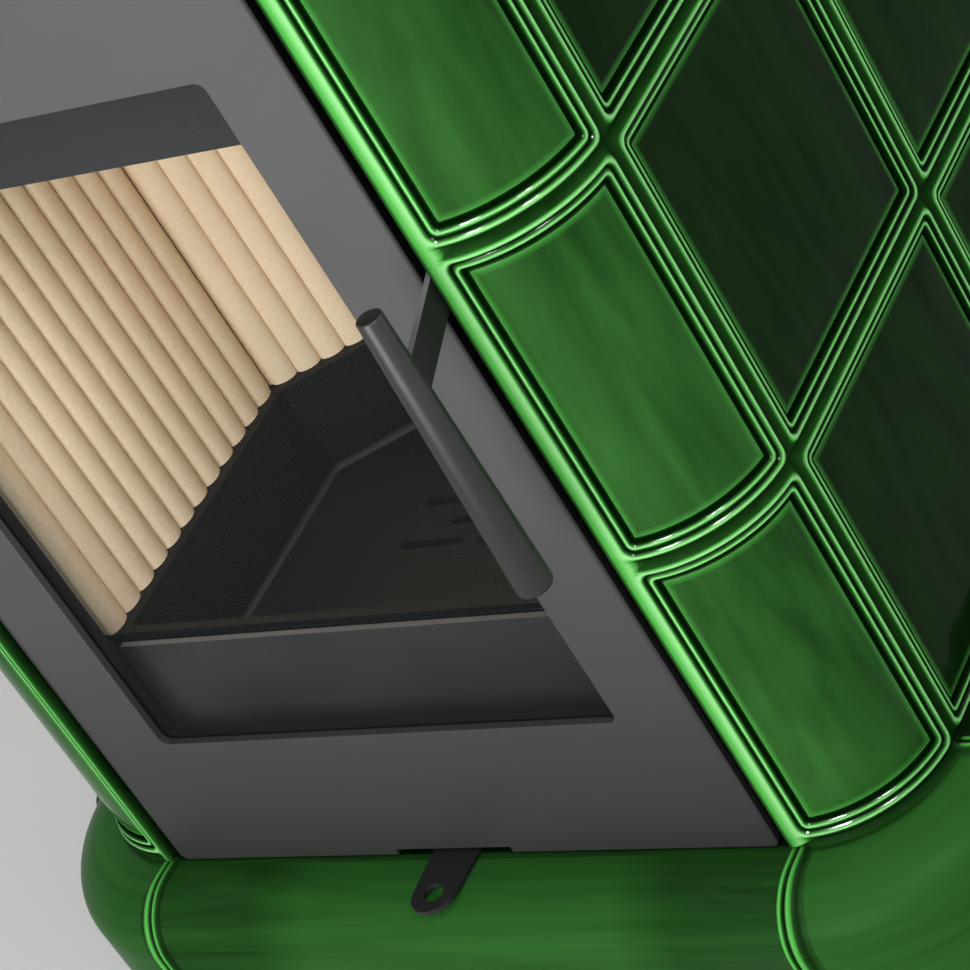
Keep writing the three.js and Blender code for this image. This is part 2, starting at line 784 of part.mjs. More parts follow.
// Storage core over the insert, with the flue way that turns to the back
function storageCore() {
  const block = planColumn(-TILE_DEPTH - CORE_MARGIN, coreBottom, corniceTop, coreBack);
  const bore = NECK_RADIUS + SEAT_GAP;
  const rise = cylinderAlongZ(bore, coreBottom - CUT_OVERRUN, flueZ, 0, NECK_DEPTH, ROUND_STEPS);
  const back = cylinderAlongY(
    FLUE_RADIUS + SEAT_GAP,
    NECK_DEPTH,
    coreBack + CUT_OVERRUN,
    0,
    flueZ,
    ROUND_STEPS,
  );
  const bend = new THREE.SphereGeometry(bore, ROUND_STEPS, ROUND_STEPS / 2);
  bend.rotateX(Math.PI / 2);
  bend.translate(0, NECK_DEPTH, flueZ);
  return geometryOf(solid(block).subtract(solid(rise)).subtract(solid(back)).subtract(solid(bend)));
}
addPiece("storage_core", storageCore(), fireclay);

// Flue outlet: spigot with a wall flange
function flueCollar() {
  const bore = FLUE_RADIUS - FLUE_WALL;
  const inner = coreBack - FLUE_SOCKET;
  const flangeFront = backPlane + SEAT_GAP;
  const flangeBack = flangeFront + FLUE_FLANGE_THICKNESS;
  const outer = flangeBack + FLUE_SPIGOT;
  const profile = [
    [bore, inner],
    [FLUE_RADIUS, inner],
    [FLUE_RADIUS, flangeFront],
    [FLUE_FLANGE_RADIUS, flangeFront],
    [FLUE_FLANGE_RADIUS, flangeBack],
    [FLUE_RADIUS, flangeBack],
    [FLUE_RADIUS, outer],
    [bore, outer],
    [bore, inner],
  ].map(([radius, y]) => new THREE.Vector2(radius, y));
  const geometry = new THREE.LatheGeometry(profile, ROUND_STEPS);
  geometry.translate(0, 0, flueZ);
  return geometry;
}
addPiece("flue_collar", geometryOf(solid(flueCollar())), blackSteel);

// Air ports of the insert floor, and of the slide under it
function airPorts(shift, bottom, thickness) {
  const middleY = SLIDE_FRONT + SLIDE_DEPTH / 2;
  return [-1, 1].map((side) => {
    const middleX = LEVER_SHIFT + shift + (side * PORT_PITCH) / 2;
    return solid(
      box(
        middleX - PORT_WIDTH / 2,
        middleX + PORT_WIDTH / 2,
        middleY - PORT_DEPTH / 2,
        middleY + PORT_DEPTH / 2,
        bottom - CUT_OVERRUN,
        bottom + thickness + CUT_OVERRUN,
      ),
    );
  });
}

// Insert body: open-fronted casing with rails for the trough and the neck for the flue
function insertBody() {
  const inner = insertInnerHalf;
  const bottom = insertBottom;
  const casing = solid(box(-insertHalf, insertHalf, insertFront, insertBack, bottom, insertTop));
  const hollow = box(
    -inner,
    inner,
    insertFront - CUT_OVERRUN,
    insertBack - INSERT_WALL,
    bottom + INSERT_WALL,
    insertTop - INSERT_WALL,
  );
  const railTop = rimZ - TROUGH_FLANGE - SEAT_GAP;
  const railFront = FIREBOX_FRONT + TROUGH_INSET;
  const rails = [1, -1].map((side) => {
    const from = side > 0 ? inner - RAIL_WIDTH : -inner - INSERT_WALL / 2;
    const to = side > 0 ? inner + INSERT_WALL / 2 : RAIL_WIDTH - inner;
    return solid(box(from, to, railFront, FIREBOX_BEND, railTop - RAIL_HEIGHT, railTop));
  });
  const neckBottom = insertTop - INSERT_WALL;
  const neck = cylinderAlongZ(
    NECK_RADIUS,
    neckBottom,
    insertTop + NECK_HEIGHT,
    0,
    NECK_DEPTH,
    ROUND_STEPS,
  );
  const neckHole = cylinderAlongZ(
    NECK_RADIUS - NECK_WALL,
    neckBottom - CUT_OVERRUN,
    insertTop + NECK_HEIGHT + CUT_OVERRUN,
    0,
    NECK_DEPTH,
    ROUND_STEPS,
  );
  let shell = casing.subtract(solid(hollow)).add(rails[0]).add(rails[1]);
  shell = shell.add(solid(neck)).subtract(solid(neckHole));
  for (const port of airPorts(SLIDE_TRAVEL, bottom, INSERT_WALL)) {
    shell = shell.subtract(port);
  }
  return geometryOf(shell);
}
addPiece("insert_body", insertBody(), bodySteel);

// Insert frame: face plate round the fire mouth, with two hinge lugs
function insertFrame() {
  const half = cornerEdge - FRAME_PLATE_MARGIN;
  const top = doorTop - FRAME_PLATE_DROP;
  const face = roundedRectangle(-half, half, insertBottom, top, DOOR_CORNER_RADIUS);
  face.holes.push(
    roundedRectangle(-mouthHalf, mouthHalf, mouthBottom, mouthTop, WINDOW_CORNER_RADIUS),
  );
  let frame = solid(uprightPlate(face, INSERT_FACE, FRAME_PLATE));
  const boreRadius = HINGE_ROD_RADIUS + HINGE_BORE_PLAY;
  const lugs = [frameBottom - SEAT_GAP - LUG_HEIGHT, frameTop + HINGE_BORE_PLAY];
  for (const lugBottom of lugs) {
    const lugTop = lugBottom + LUG_HEIGHT;
    const eye = cylinderAlongZ(
      BARREL_RADIUS,
      lugBottom,
      lugTop,
      hingeX,
      HINGE_DEPTH,
      SMALL_ROUND_STEPS,
    );
    const neck = box(
      hingeX + BARREL_RADIUS - LUG_NECK,
      hingeX + BARREL_RADIUS,
      HINGE_DEPTH,
      INSERT_FACE + FRAME_PLATE / 2,
      lugBottom,
      lugTop,
    );
    frame = frame.add(solid(eye)).add(solid(neck));
  }
  const rodHole = cylinderAlongZ(
    boreRadius,
    lugs[0] - CUT_OVERRUN,
    lugs[1] + LUG_HEIGHT + CUT_OVERRUN,
    hingeX,
    HINGE_DEPTH,
    SMALL_ROUND_STEPS,
  );
  return geometryOf(frame.subtract(solid(rodHole)));
}
addPiece("insert_frame", insertFrame(), blackSteel);

// Plan of the firebox: front left, round the back, to front right
const fireboxPlan = [
  [-fireboxHalf, FIREBOX_FRONT],
  [-fireboxHalf, FIREBOX_BEND],
  [FIREBOX_SLANT - fireboxHalf, FIREBOX_BACK],
  [fireboxHalf - FIREBOX_SLANT, FIREBOX_BACK],
  [fireboxHalf, FIREBOX_BEND],
  [fireboxHalf, FIREBOX_FRONT],
].map(([x, y]) => new THREE.Vector2(x, y));

// Moves the firebox plan outwards by a distance, with mitred bends; its open ends stay at the front
function grownPlan(distance) {
  const normals = fireboxPlan.slice(1).map((point, i) => {
    const run = point.clone().sub(fireboxPlan[i]).normalize();
    return new THREE.Vector2(-run.y, run.x);
  });
  return fireboxPlan.map((point, i) => {
    const before = normals[Math.max(i - 1, 0)];
    const after = normals[Math.min(i, normals.length - 1)];
    const sum = before.clone().add(after);
    return point.clone().addScaledVector(sum, distance / (1 + before.dot(after)));
  });
}

// The same plan with its front edge moved to a depth
function planFrom(distance, front) {
  const plan = grownPlan(distance);
  plan[0].y = front;
  plan[plan.length - 1].y = front;
  return plan;
}

// Fluted lining boards between the bends of the plan
const linerNames = ["left", "back_left", "back", "back_right", "right"];
const linerBacks = grownPlan(LINER_THICKNESS);
const linerValleys = grownPlan(RIB_DEPTH);
linerNames.forEach((name, i) => {
  const start = fireboxPlan[i];
  const end = fireboxPlan[i + 1];
  const run = end.clone().sub(start);
  const length = run.length();
  run.normalize();
  const outward = new THREE.Vector2(-run.y, run.x);
  const ribs = Math.round(length / RIB_PITCH);
  const at = (along, depth) =>
    start.clone().addScaledVector(run, along).addScaledVector(outward, depth);
  const face = [];
  const first = LINER_JOINT / 2;
  const span = length - LINER_JOINT;
  face.push(linerValleys[i].clone().addScaledVector(run, first));
  for (let step = 1; step < ribs * RIB_STEPS; step++) {
    const along = first + span * (step / (ribs * RIB_STEPS));
    const swell = Math.sin(Math.PI * ((step % RIB_STEPS) / RIB_STEPS));
    face.push(at(along, RIB_DEPTH * (1 - swell)));
  }
  face.push(linerValleys[i + 1].clone().addScaledVector(run, -first));
  const backStart = linerBacks[i].clone().addScaledVector(run, first);
  const backEnd = linerBacks[i + 1].clone().addScaledVector(run, -first);
  const outline = new THREE.Shape([backStart, backEnd, ...face.reverse()]);
  addPiece(`liner_${name}`, column(outline, linerBottom, linerTop - linerBottom), liningBoard);
});

// Fire trough: drafted pan with a flange for the lining and staggered air slots
function fireTrough() {
  const front = FIREBOX_FRONT + TROUGH_INSET;
  const floorZ = rimZ - TROUGH_DEPTH;
  const lid = rimZ + CUT_OVERRUN;
  const layer = (plan, z) => plan.map((point) => new THREE.Vector3(point.x, point.y, z));
  const drafted = (inset, frontEdge, bottom, top) => {
    const low = planFrom(-inset - TROUGH_DRAFT, frontEdge + TROUGH_DRAFT).reverse();
    const high = planFrom(-inset, frontEdge).reverse();
    const cap = capOf(low);
    return solid(loft([layer(low, bottom), layer(high, top)], cap, cap));
  };
  const outerInset = TROUGH_INSET - TROUGH_WALL;
  const pan = drafted(outerInset, front - TROUGH_WALL, floorZ - TROUGH_WALL, rimZ);
  const hollow = drafted(TROUGH_INSET, front, floorZ, lid);
  const flangePlan = planFrom(LINER_THICKNESS + FLANGE_LAP, front - TROUGH_WALL).reverse();
  const flange = solid(column(new THREE.Shape(flangePlan), rimZ - TROUGH_FLANGE, TROUGH_FLANGE));
  let trough = pan.add(flange).subtract(hollow);
  const middleRow = (SLOTS_IN_ROWS.length - 1) / 2;
  SLOTS_IN_ROWS.forEach((slots, row) => {
    for (let slot = 0; slot < slots; slot++) {
      const x = (slot - (slots - 1) / 2) * SLOT_PITCH;
      const y = SLOT_MIDDLE + (row - middleRow) * SLOT_ROW_PITCH;
      const half = SLOT_LENGTH / 2 - SLOT_WIDTH / 2;
      const outline = new THREE.Shape();
      outline.moveTo(x - half, y - SLOT_WIDTH / 2);
      outline.lineTo(x + half, y - SLOT_WIDTH / 2);
      outline.absarc(x + half, y, SLOT_WIDTH / 2, -Math.PI / 2, Math.PI / 2);
      outline.lineTo(x - half, y + SLOT_WIDTH / 2);
      outline.absarc(x - half, y, SLOT_WIDTH / 2, Math.PI / 2, Math.PI * 1.5);
      const cut = column(outline, floorZ - TROUGH_WALL - CUT_OVERRUN, TROUGH_WALL + CUT_OVERRUN * 2);
      trough = trough.subtract(solid(cut));
    }
  });
  return geometryOf(trough);
}
addPiece("fire_trough", fireTrough(), castIron);

// Log guard that stands on the sill of the fire mouth
const guardHalf = mouthHalf - GUARD_SIDE_GAP;
const guardShape = roundedRectangle(
  -guardHalf,
  guardHalf,
  mouthBottom + SEAT_GAP,
  rimZ + GUARD_RISE,
  GUARD_THICKNESS,
);
addPiece("log_guard", uprightPlate(guardShape, GUARD_DEPTH, GUARD_THICKNESS), castIron);

// Air wash plate that hangs behind the top of the mouth
const airWashHalf = insertInnerHalf - AIR_WASH_SIDE;
const airWash = box(
  -airWashHalf,
  airWashHalf,
  framePlateBack + SEAT_GAP,
  framePlateBack + SEAT_GAP + AIR_WASH_THICKNESS,
  windowTop - AIR_WASH_DROP,
  mouthTop + AIR_WASH_LAP,
);
addPiece("air_wash_plate", airWash, bodySteel);

// Baffle that lies on the lining and leaves the smoke its way at the front
const bafflePlan = planFrom(BAFFLE_LAP, BAFFLE_FRONT).reverse();
const baffle = column(new THREE.Shape(bafflePlan), linerTop + SEAT_GAP, BAFFLE_THICKNESS);
addPiece("baffle_plate", baffle, liningBoard);

// Air slide: ported plate in its bed, with the lever that comes out under the door
function airSlide() {
  const tip = -LEVER_REACH;
  const tipHalf = LEVER_TIP_WIDTH / 2;
  const rootHalf = LEVER_ROOT_WIDTH / 2;
  const plateHalf = SLIDE_WIDTH / 2;
  const plateBack = SLIDE_FRONT + SLIDE_DEPTH;
  const outline = new THREE.Shape();
  outline.moveTo(LEVER_SHIFT - plateHalf, SLIDE_FRONT);
  outline.lineTo(LEVER_SHIFT - rootHalf, SLIDE_FRONT);
  outline.lineTo(LEVER_SHIFT - tipHalf, tip + tipHalf);
  outline.absarc(LEVER_SHIFT, tip + tipHalf, tipHalf, Math.PI, Math.PI * 2);
  outline.lineTo(LEVER_SHIFT + rootHalf, SLIDE_FRONT);
  outline.lineTo(LEVER_SHIFT + plateHalf, SLIDE_FRONT);
  outline.lineTo(LEVER_SHIFT + plateHalf, plateBack);
  outline.lineTo(LEVER_SHIFT - plateHalf, plateBack);
  const hole = new THREE.Path();
  hole.absarc(LEVER_SHIFT, tip + tipHalf, LEVER_HOLE_RADIUS, 0, Math.PI * 2);
  outline.holes.push(hole);
  const geometry = new THREE.ExtrudeGeometry(outline, {
    depth: LEVER_THICKNESS,
    bevelEnabled: false,
    curveSegments: ARC_STEPS,
  });
  geometry.translate(0, 0, leverBottom);
  let slide = solid(geometry);
  for (const port of airPorts(0, leverBottom, LEVER_THICKNESS)) {
    slide = slide.subtract(port);
  }
  return geometryOf(slide);
}
addPiece("air_slide", airSlide(), blackSteel, { group: airControl });

// Latch keeper on the insert frame, open to the front
function latchKeeper() {
  const from = frameHalf + NOSE_PIECE_SPACE - (KEEPER_WIDTH - NOSE_PIECE_WIDTH) / 2;
  const to = from + KEEPER_WIDTH;
  const shelfBottom = pivotZ + NOSE_PIECE_HEIGHT / 2 + KEEPER_PLAY;
  const back = INSERT_FACE - SEAT_GAP;
  const foot = box(from, to, back - KEEPER_FOOT, back, shelfBottom, shelfBottom + KEEPER_HEIGHT);
  const shelfTop = shelfBottom + KEEPER_THICKNESS;
  const shelf = box(from, to, back - KEEPER_REACH, back, shelfBottom, shelfTop);
  return geometryOf(solid(foot).add(solid(shelf)));
}
addPiece("latch_keeper", latchKeeper(), blackSteel);

// Hinge rod with its head on the upper lug
function hingeRod() {
  const bottom = frameBottom - SEAT_GAP - LUG_HEIGHT - ROD_OVERHANG;
  const headBottom = frameTop + HINGE_BORE_PLAY + LUG_HEIGHT + SEAT_GAP;
  const headTop = headBottom + ROD_HEAD_HEIGHT;
  const profile = [
    [0, bottom],
    [HINGE_ROD_RADIUS, bottom],
    [HINGE_ROD_RADIUS, headBottom],
    [ROD_HEAD_RADIUS, headBottom],
    [ROD_HEAD_RADIUS, headTop],
    [0, headTop],
  ].map(([radius, z]) => new THREE.Vector2(radius, z));
  const geometry = new THREE.LatheGeometry(profile, SMALL_ROUND_STEPS);
  geometry.rotateX(Math.PI / 2);
  geometry.translate(hingeX, HINGE_DEPTH, 0);
  return geometry;
}
addPiece("hinge_rod", geometryOf(solid(hingeRod())), blackSteel);

// Door plate: rounded outline, notch for the air lever and the window
function doorPlate() {
  const radius = DOOR_CORNER_RADIUS;
  const notchLeft = NOTCH_SHIFT - NOTCH_WIDTH / 2;
  const notchRight = NOTCH_SHIFT + NOTCH_WIDTH / 2;
  const notchTop = doorBottom + NOTCH_DEPTH;
  const outline = new THREE.Shape();
  outline.moveTo(radius - doorHalf, doorBottom);
  outline.lineTo(notchLeft, doorBottom);
  outline.lineTo(notchLeft, notchTop);
  outline.lineTo(notchRight, notchTop);
  outline.lineTo(notchRight, doorBottom);
  outline.lineTo(doorHalf - radius, doorBottom);
  outline.absarc(doorHalf - radius, doorBottom + radius, radius, -Math.PI / 2, 0);
  outline.lineTo(doorHalf, doorTop - radius);
  outline.absarc(doorHalf - radius, doorTop - radius, radius, 0, Math.PI / 2);
  outline.lineTo(radius - doorHalf, doorTop);
  outline.absarc(radius - doorHalf, doorTop - radius, radius, Math.PI / 2, Math.PI);
  outline.lineTo(-doorHalf, doorBottom + radius);
  outline.absarc(radius - doorHalf, doorBottom + radius, radius, Math.PI, Math.PI * 1.5);
  outline.holes.push(
    roundedRectangle(-windowHalf, windowHalf, windowBottom, windowTop, WINDOW_CORNER_RADIUS),
  );
  return uprightPlate(outline, 0, DOOR_THICKNESS);
}
addPiece("door_plate", doorPlate(), doorSteel, { group: door });

// Frame behind the plate: opening for the glass, channel for the rope, barrels and pivot bore
const openingHalf = glassHalf + GLASS_PLAY;
const openingBottom = windowBottom - GLASS_LAP - GLASS_PLAY;
const openingTop = windowTop + GLASS_LAP + GLASS_PLAY;

function sealLoop(grow) {
  const half = frameHalf - SEAL_MARGIN + grow;
  const bottom = frameBottom + SEAL_MARGIN - grow;
  const top = frameTop - SEAL_MARGIN + grow;
  return roundedRectangle(-half, half, bottom, top, SEAL_DIAMETER / 2 + grow);
}

function doorFrame() {
  const outline = roundedRectangle(
    -frameHalf,
    frameHalf,
    frameBottom,
    frameTop,
    DOOR_CORNER_RADIUS,
  );
  outline.holes.push(
    roundedRectangle(
      -openingHalf,
      openingHalf,
      openingBottom,
      openingTop,
      WINDOW_CORNER_RADIUS / 2,
    ),
  );
  let frame = solid(uprightPlate(outline, frameFront, FRAME_DEPTH));
  const halfChannel = SEAL_DIAMETER / 2 + SEAL_PLAY;
  const channel = sealLoop(halfChannel);
  channel.holes.push(sealLoop(-halfChannel));
  const channelFront = frameBack - SEAL_SINK;
  frame = frame.subtract(solid(uprightPlate(channel, channelFront, SEAL_SINK + CUT_OVERRUN)));
  const clearance = HINGE_ROD_RADIUS + HINGE_BORE_PLAY;
  const barrels = [frameBottom, frameTop - BARREL_HEIGHT];
  for (const bottom of barrels) {
    const top = bottom + BARREL_HEIGHT;
    const barrel = cylinderAlongZ(
      BARREL_RADIUS,
      bottom,
      top,
      hingeX,
      HINGE_DEPTH,
      SMALL_ROUND_STEPS,
    );
    frame = frame.add(solid(barrel));
  }
  const rodHole = cylinderAlongZ(
    clearance,
    frameBottom - CUT_OVERRUN,
    frameTop + CUT_OVERRUN,
    hingeX,
    HINGE_DEPTH,
    SMALL_ROUND_STEPS,
  );
  const pivotBore = cylinderAlongX(
    PIVOT_RADIUS + PIVOT_PLAY,
    frameHalf - PIVOT_ENGAGEMENT - PIVOT_PLAY,
    frameHalf + CUT_OVERRUN,
    PIVOT_DEPTH,
    pivotZ,
    SMALL_ROUND_STEPS,
  );
  return geometryOf(frame.subtract(solid(rodHole)).subtract(solid(pivotBore)));
}
addPiece("door_frame", doorFrame(), blackSteel, { group: door });

// Glass pane and the ring that holds it
const glassShape = roundedRectangle(
  -glassHalf,
  glassHalf,
  windowBottom - GLASS_LAP,
  windowTop + GLASS_LAP,
  WINDOW_CORNER_RADIUS / 2,
);
const glassPane = uprightPlate(glassShape, frameFront, GLASS_THICKNESS);
addPiece("glass_pane", glassPane, paneGlass, { group: door });

const retainerHalf = openingHalf - SEAT_GAP;
const retainerShape = roundedRectangle(
  -retainerHalf,
  retainerHalf,
  openingBottom + SEAT_GAP,
  openingTop - SEAT_GAP,
  WINDOW_CORNER_RADIUS / 2,
);
retainerShape.holes.push(
  roundedRectangle(
    RETAINER_LAP - glassHalf,
    glassHalf - RETAINER_LAP,
    windowBottom - GLASS_LAP + RETAINER_LAP,
    windowTop + GLASS_LAP - RETAINER_LAP,
    WINDOW_CORNER_RADIUS,
  ),
);
const retainerFront = frameFront + GLASS_THICKNESS + SEAT_GAP;
const retainer = uprightPlate(retainerShape, retainerFront, RETAINER_THICKNESS);
addPiece("glass_retainer", retainer, blackSteel, { group: door });

// Rope seal laid round its channel
function doorSeal() {
  const centreY = frameBack - SEAL_SINK + SEAL_PLAY + SEAL_DIAMETER / 2;
  const path = sealLoop(0).getPoints(PLATE_ARC_STEPS);
  path.pop();
  const loops = path.map((point, i) => {
    const before = path[(i + path.length - 1) % path.length];
    const after = path[(i + 1) % path.length];
    const into = point.clone().sub(before).normalize();
    const out = after.clone().sub(point).normalize();
    const sum = new THREE.Vector2(into.y + out.y, -into.x - out.x);
    const mitre = sum.multiplyScalar(1 / (1 + into.dot(out)));
    const loop = [];
    for (let side = 0; side < ROPE_SIDES; side++) {
      const angle = ((side + 0.5) / ROPE_SIDES) * Math.PI * 2;
      const across = (SEAL_DIAMETER / 2) * Math.cos(angle);
      const deep = (SEAL_DIAMETER / 2) * Math.sin(angle);
      loop.push(
        new THREE.Vector3(
          point.x + mitre.x * across,
          centreY + deep,
          point.y + mitre.y * across,
        ),
      );
    }
    return loop;
  });
  return closedLoft(loops);
}
addPiece("door_seal", doorSeal(), ropeFibre, { group: door });

// Handle: flat arm with its pivot shaft and latch nose, and the tapered grip
const gripTop = new THREE.Vector3(armX, -GRIP_TOP_STANDOFF, pivotZ + GRIP_RISE);
const gripBottom = new THREE.Vector3(armX, -GRIP_BOTTOM_STANDOFF, pivotZ - GRIP_FALL);
const armEndZ = pivotZ - ARM_FALL;
const gripShare = (gripTop.z - armEndZ) / (gripTop.z - gripBottom.z);
const gripAxisY = THREE.MathUtils.lerp(gripTop.y, gripBottom.y, gripShare);
const gripRadiusThere = THREE.MathUtils.lerp(GRIP_TOP_RADIUS, GRIP_BOTTOM_RADIUS, gripShare);
const armEndY = gripAxisY + gripRadiusThere - ARM_SEAT;

// Outline of the arm in Y and Z, grown all round by a clearance
function armOutline(grow) {
  const fall = Math.atan2(pivotZ - armEndZ, PIVOT_DEPTH - armEndY);
  const half = ARM_HEIGHT / 2 + grow;
  const up = new THREE.Vector2(-Math.sin(fall), Math.cos(fall));
  const endHalf = half / Math.cos(fall);
  const outline = new THREE.Shape();
  outline.moveTo(armEndY - grow, armEndZ + endHalf);
  outline.lineTo(armEndY - grow, armEndZ - endHalf);
  outline.lineTo(PIVOT_DEPTH - up.x * half, pivotZ - up.y * half);
  outline.absarc(PIVOT_DEPTH, pivotZ, half, fall - Math.PI / 2, fall + Math.PI / 2);
  return outline;
}

function handleArm() {
  const inner = frameHalf - PIVOT_ENGAGEMENT;
  const outer = armX + ARM_THICKNESS / 2;
  const arm = crossPlate(armOutline(0), armX - ARM_THICKNESS / 2, ARM_THICKNESS);
  const shaft = cylinderAlongX(
    PIVOT_RADIUS,
    inner,
    outer,
    PIVOT_DEPTH,
    pivotZ,
    SMALL_ROUND_STEPS,
  );
  const nose = box(
    frameHalf + NOSE_PIECE_SPACE,
    frameHalf + NOSE_PIECE_SPACE + NOSE_PIECE_WIDTH,
    PIVOT_DEPTH,
    PIVOT_DEPTH + NOSE_PIECE_LENGTH,
    pivotZ - NOSE_PIECE_HEIGHT / 2,
    pivotZ + NOSE_PIECE_HEIGHT / 2,
  );
  return geometryOf(solid(arm).add(solid(shaft)).add(solid(nose)));
}
addPiece("handle_arm", handleArm(), blackSteel, { group: handle });

function handleGrip() {
  const axis = gripTop.clone().sub(gripBottom);
  const length = axis.length();
  const profile = [[0, 0]];
  for (let i = 0; i <= GRIP_ROUND_STEPS; i++) {
    const angle = (Math.PI / 2) * (i / GRIP_ROUND_STEPS);
    profile.push([
      GRIP_BOTTOM_RADIUS - GRIP_ROUND + GRIP_ROUND * Math.sin(angle),
      GRIP_ROUND - GRIP_ROUND * Math.cos(angle),
    ]);
  }
  profile.push([GRIP_TOP_RADIUS, length - GRIP_CHAMFER]);
  profile.push([GRIP_TOP_RADIUS - GRIP_CHAMFER, length]);
  profile.push([0, length]);
  const outline = profile.map(([radius, z]) => new THREE.Vector2(radius, z));
  const bar = new THREE.LatheGeometry(outline, SMALL_ROUND_STEPS);
  bar.applyQuaternion(
    new THREE.Quaternion().setFromUnitVectors(new THREE.Vector3(0, 1, 0), axis.normalize()),
  );
  bar.translate(gripBottom.x, gripBottom.y, gripBottom.z);
  const seat = crossPlate(
    armOutline(SEAT_GAP),
    armX - ARM_THICKNESS / 2 - SEAT_GAP,
    ARM_THICKNESS + SEAT_GAP * 2,
  );
  return geometryOf(solid(bar).subtract(solid(seat)));
}
addPiece("handle_grip", handleGrip(), gripSteel, { group: handle });

// The finished part stands on its origin, at the middle of its bounding box
const assembly = new THREE.Group();
assembly.add(heater);
assembly.updateMatrixWorld(true);
const bounds = new THREE.Box3().setFromObject(heater, true);
const middle = bounds.getCenter(new THREE.Vector3());
heater.position.set(-middle.x, -middle.y, 0);

export default assembly;
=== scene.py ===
"""Dresses the tiled masonry heater: glazed relief tiles, satin steel door and fluted fire lining."""

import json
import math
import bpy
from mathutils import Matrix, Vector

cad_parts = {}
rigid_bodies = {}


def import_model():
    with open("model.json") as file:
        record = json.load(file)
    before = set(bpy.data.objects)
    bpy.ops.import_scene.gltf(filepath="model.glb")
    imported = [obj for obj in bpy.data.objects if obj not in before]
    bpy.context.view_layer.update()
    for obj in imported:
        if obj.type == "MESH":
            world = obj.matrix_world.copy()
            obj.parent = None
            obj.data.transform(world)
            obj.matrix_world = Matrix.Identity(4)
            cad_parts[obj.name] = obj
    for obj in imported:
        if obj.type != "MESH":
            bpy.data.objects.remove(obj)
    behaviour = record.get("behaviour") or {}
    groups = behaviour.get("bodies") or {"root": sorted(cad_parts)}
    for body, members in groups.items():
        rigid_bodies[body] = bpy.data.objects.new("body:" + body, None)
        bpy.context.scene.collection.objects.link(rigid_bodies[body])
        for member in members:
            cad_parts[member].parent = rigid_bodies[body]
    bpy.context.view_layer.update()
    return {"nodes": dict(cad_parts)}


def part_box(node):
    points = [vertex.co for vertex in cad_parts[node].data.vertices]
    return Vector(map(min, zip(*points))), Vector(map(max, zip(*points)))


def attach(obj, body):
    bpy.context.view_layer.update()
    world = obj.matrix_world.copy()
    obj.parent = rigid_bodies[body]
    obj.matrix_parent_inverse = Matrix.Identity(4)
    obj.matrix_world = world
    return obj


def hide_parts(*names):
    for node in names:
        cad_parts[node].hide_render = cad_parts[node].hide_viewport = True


bl_info = {
    "name": "Tiled masonry heater",
    "version": (1, 0, 0),
    "blender": (4, 5, 0),
    "location": "3D View > Sidebar > Heater",
    "description": "Glazed relief tiles, fire door, fluted lining and studio for a masonry heater",
    "category": "Object",
}

import bmesh
import bpy
from bpy.props import FloatProperty, FloatVectorProperty, IntProperty, PointerProperty
from mathutils import Matrix, Vector

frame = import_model()

BODY = "heater"
SIDES = (("right", False), ("left", True))

plate_low, plate_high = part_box("door_plate")
cornice_low, cornice_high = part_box("cornice_front")
corner_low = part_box("corner_tile_right_1")[0]

FACE_Y = plate_low.y
SIDE_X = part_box("side_tile_right_1_1")[1].x
BACK_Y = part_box("masonry_base")[1].y
TILE_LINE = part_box("base_tile_corner_right")[1].z
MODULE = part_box("corner_tile_right_2")[0].z - corner_low.z
# Flat strip of a corner tile between the door and the heater's rounded corner
JAMB = 0.003
TURN_X = corner_low.x + JAMB
TURN_RADIUS = SIDE_X - TURN_X
TURN_Y = FACE_Y + TURN_RADIUS
TURN_RUN = TURN_RADIUS * math.pi / 2
TURN_END = TURN_X + TURN_RUN
SIDE_END = TURN_END + BACK_Y - TURN_Y
# Tile courses, columns of side tiles, and faces along a flat tile
COURSES = 4
COLUMNS = 2
FLAT_STEPS = 4
# Angles in degrees past which an edge stays sharp
CREASE = 35
MOULDING_CREASE = 38
TILE_CREASE = 52

# Distance from a tile's edge and height against the outer ridge, in millimetres, and depth of the
# glaze with painted light, from 0 on a crest with a painted highlight to 1 in a groove with painted shade
RELIEF = [
    (0.0, -4.0, 0.8),
    (0.7, -3.85, 0.8),
    (1.4, -3.5, 0.78),
    (2.1, -3.05, 0.74),
    (2.9, -2.2, 0.68),
    (3.7, -1.1, 0.5),
    (4.6, -0.3, 0.16),
    (5.5, 0.0, 0.0),
    (6.4, -0.2, 0.1),
    (7.2, -0.85, 0.5),
    (7.8, -1.7, 1.0),
    (8.25, -2.35, 0.95),
    (8.6, -2.5, 0.9),
    (9.0, -2.25, 0.8),
    (9.7, -1.75, 0.5),
    (10.5, -1.5, 0.16),
    (11.3, -1.45, 0.0),
    (12.1, -1.75, 0.3),
    (12.8, -2.6, 0.85),
    (13.3, -3.7, 1.0),
    (13.75, -4.65, 1.0),
    (14.2, -4.85, 1.0),
    (15.0, -4.65, 0.95),
    (15.9, -4.25, 0.85),
    (16.6, -4.0, 0.3),
    (17.6, -3.9, 0.36),
]
# Row of the outer ridge, rings behind the first row, and the rows and glaze depths with painted light that
# are matt
RIDGE = 7
RUMP_RINGS = 3
MATT_ROWS = 7
MATT_POOL_AND_SHADING = 0.8
# Distance from a tile's edge and radius of the ring's corners, in millimetres
CORNER_RADII = [(0.0, 0.9), (2.1, 4.2), (5.5, 7.0), (8.6, 5.0), (11.3, 3.5), (14.2, 2.0), (16.6, 0.9)]
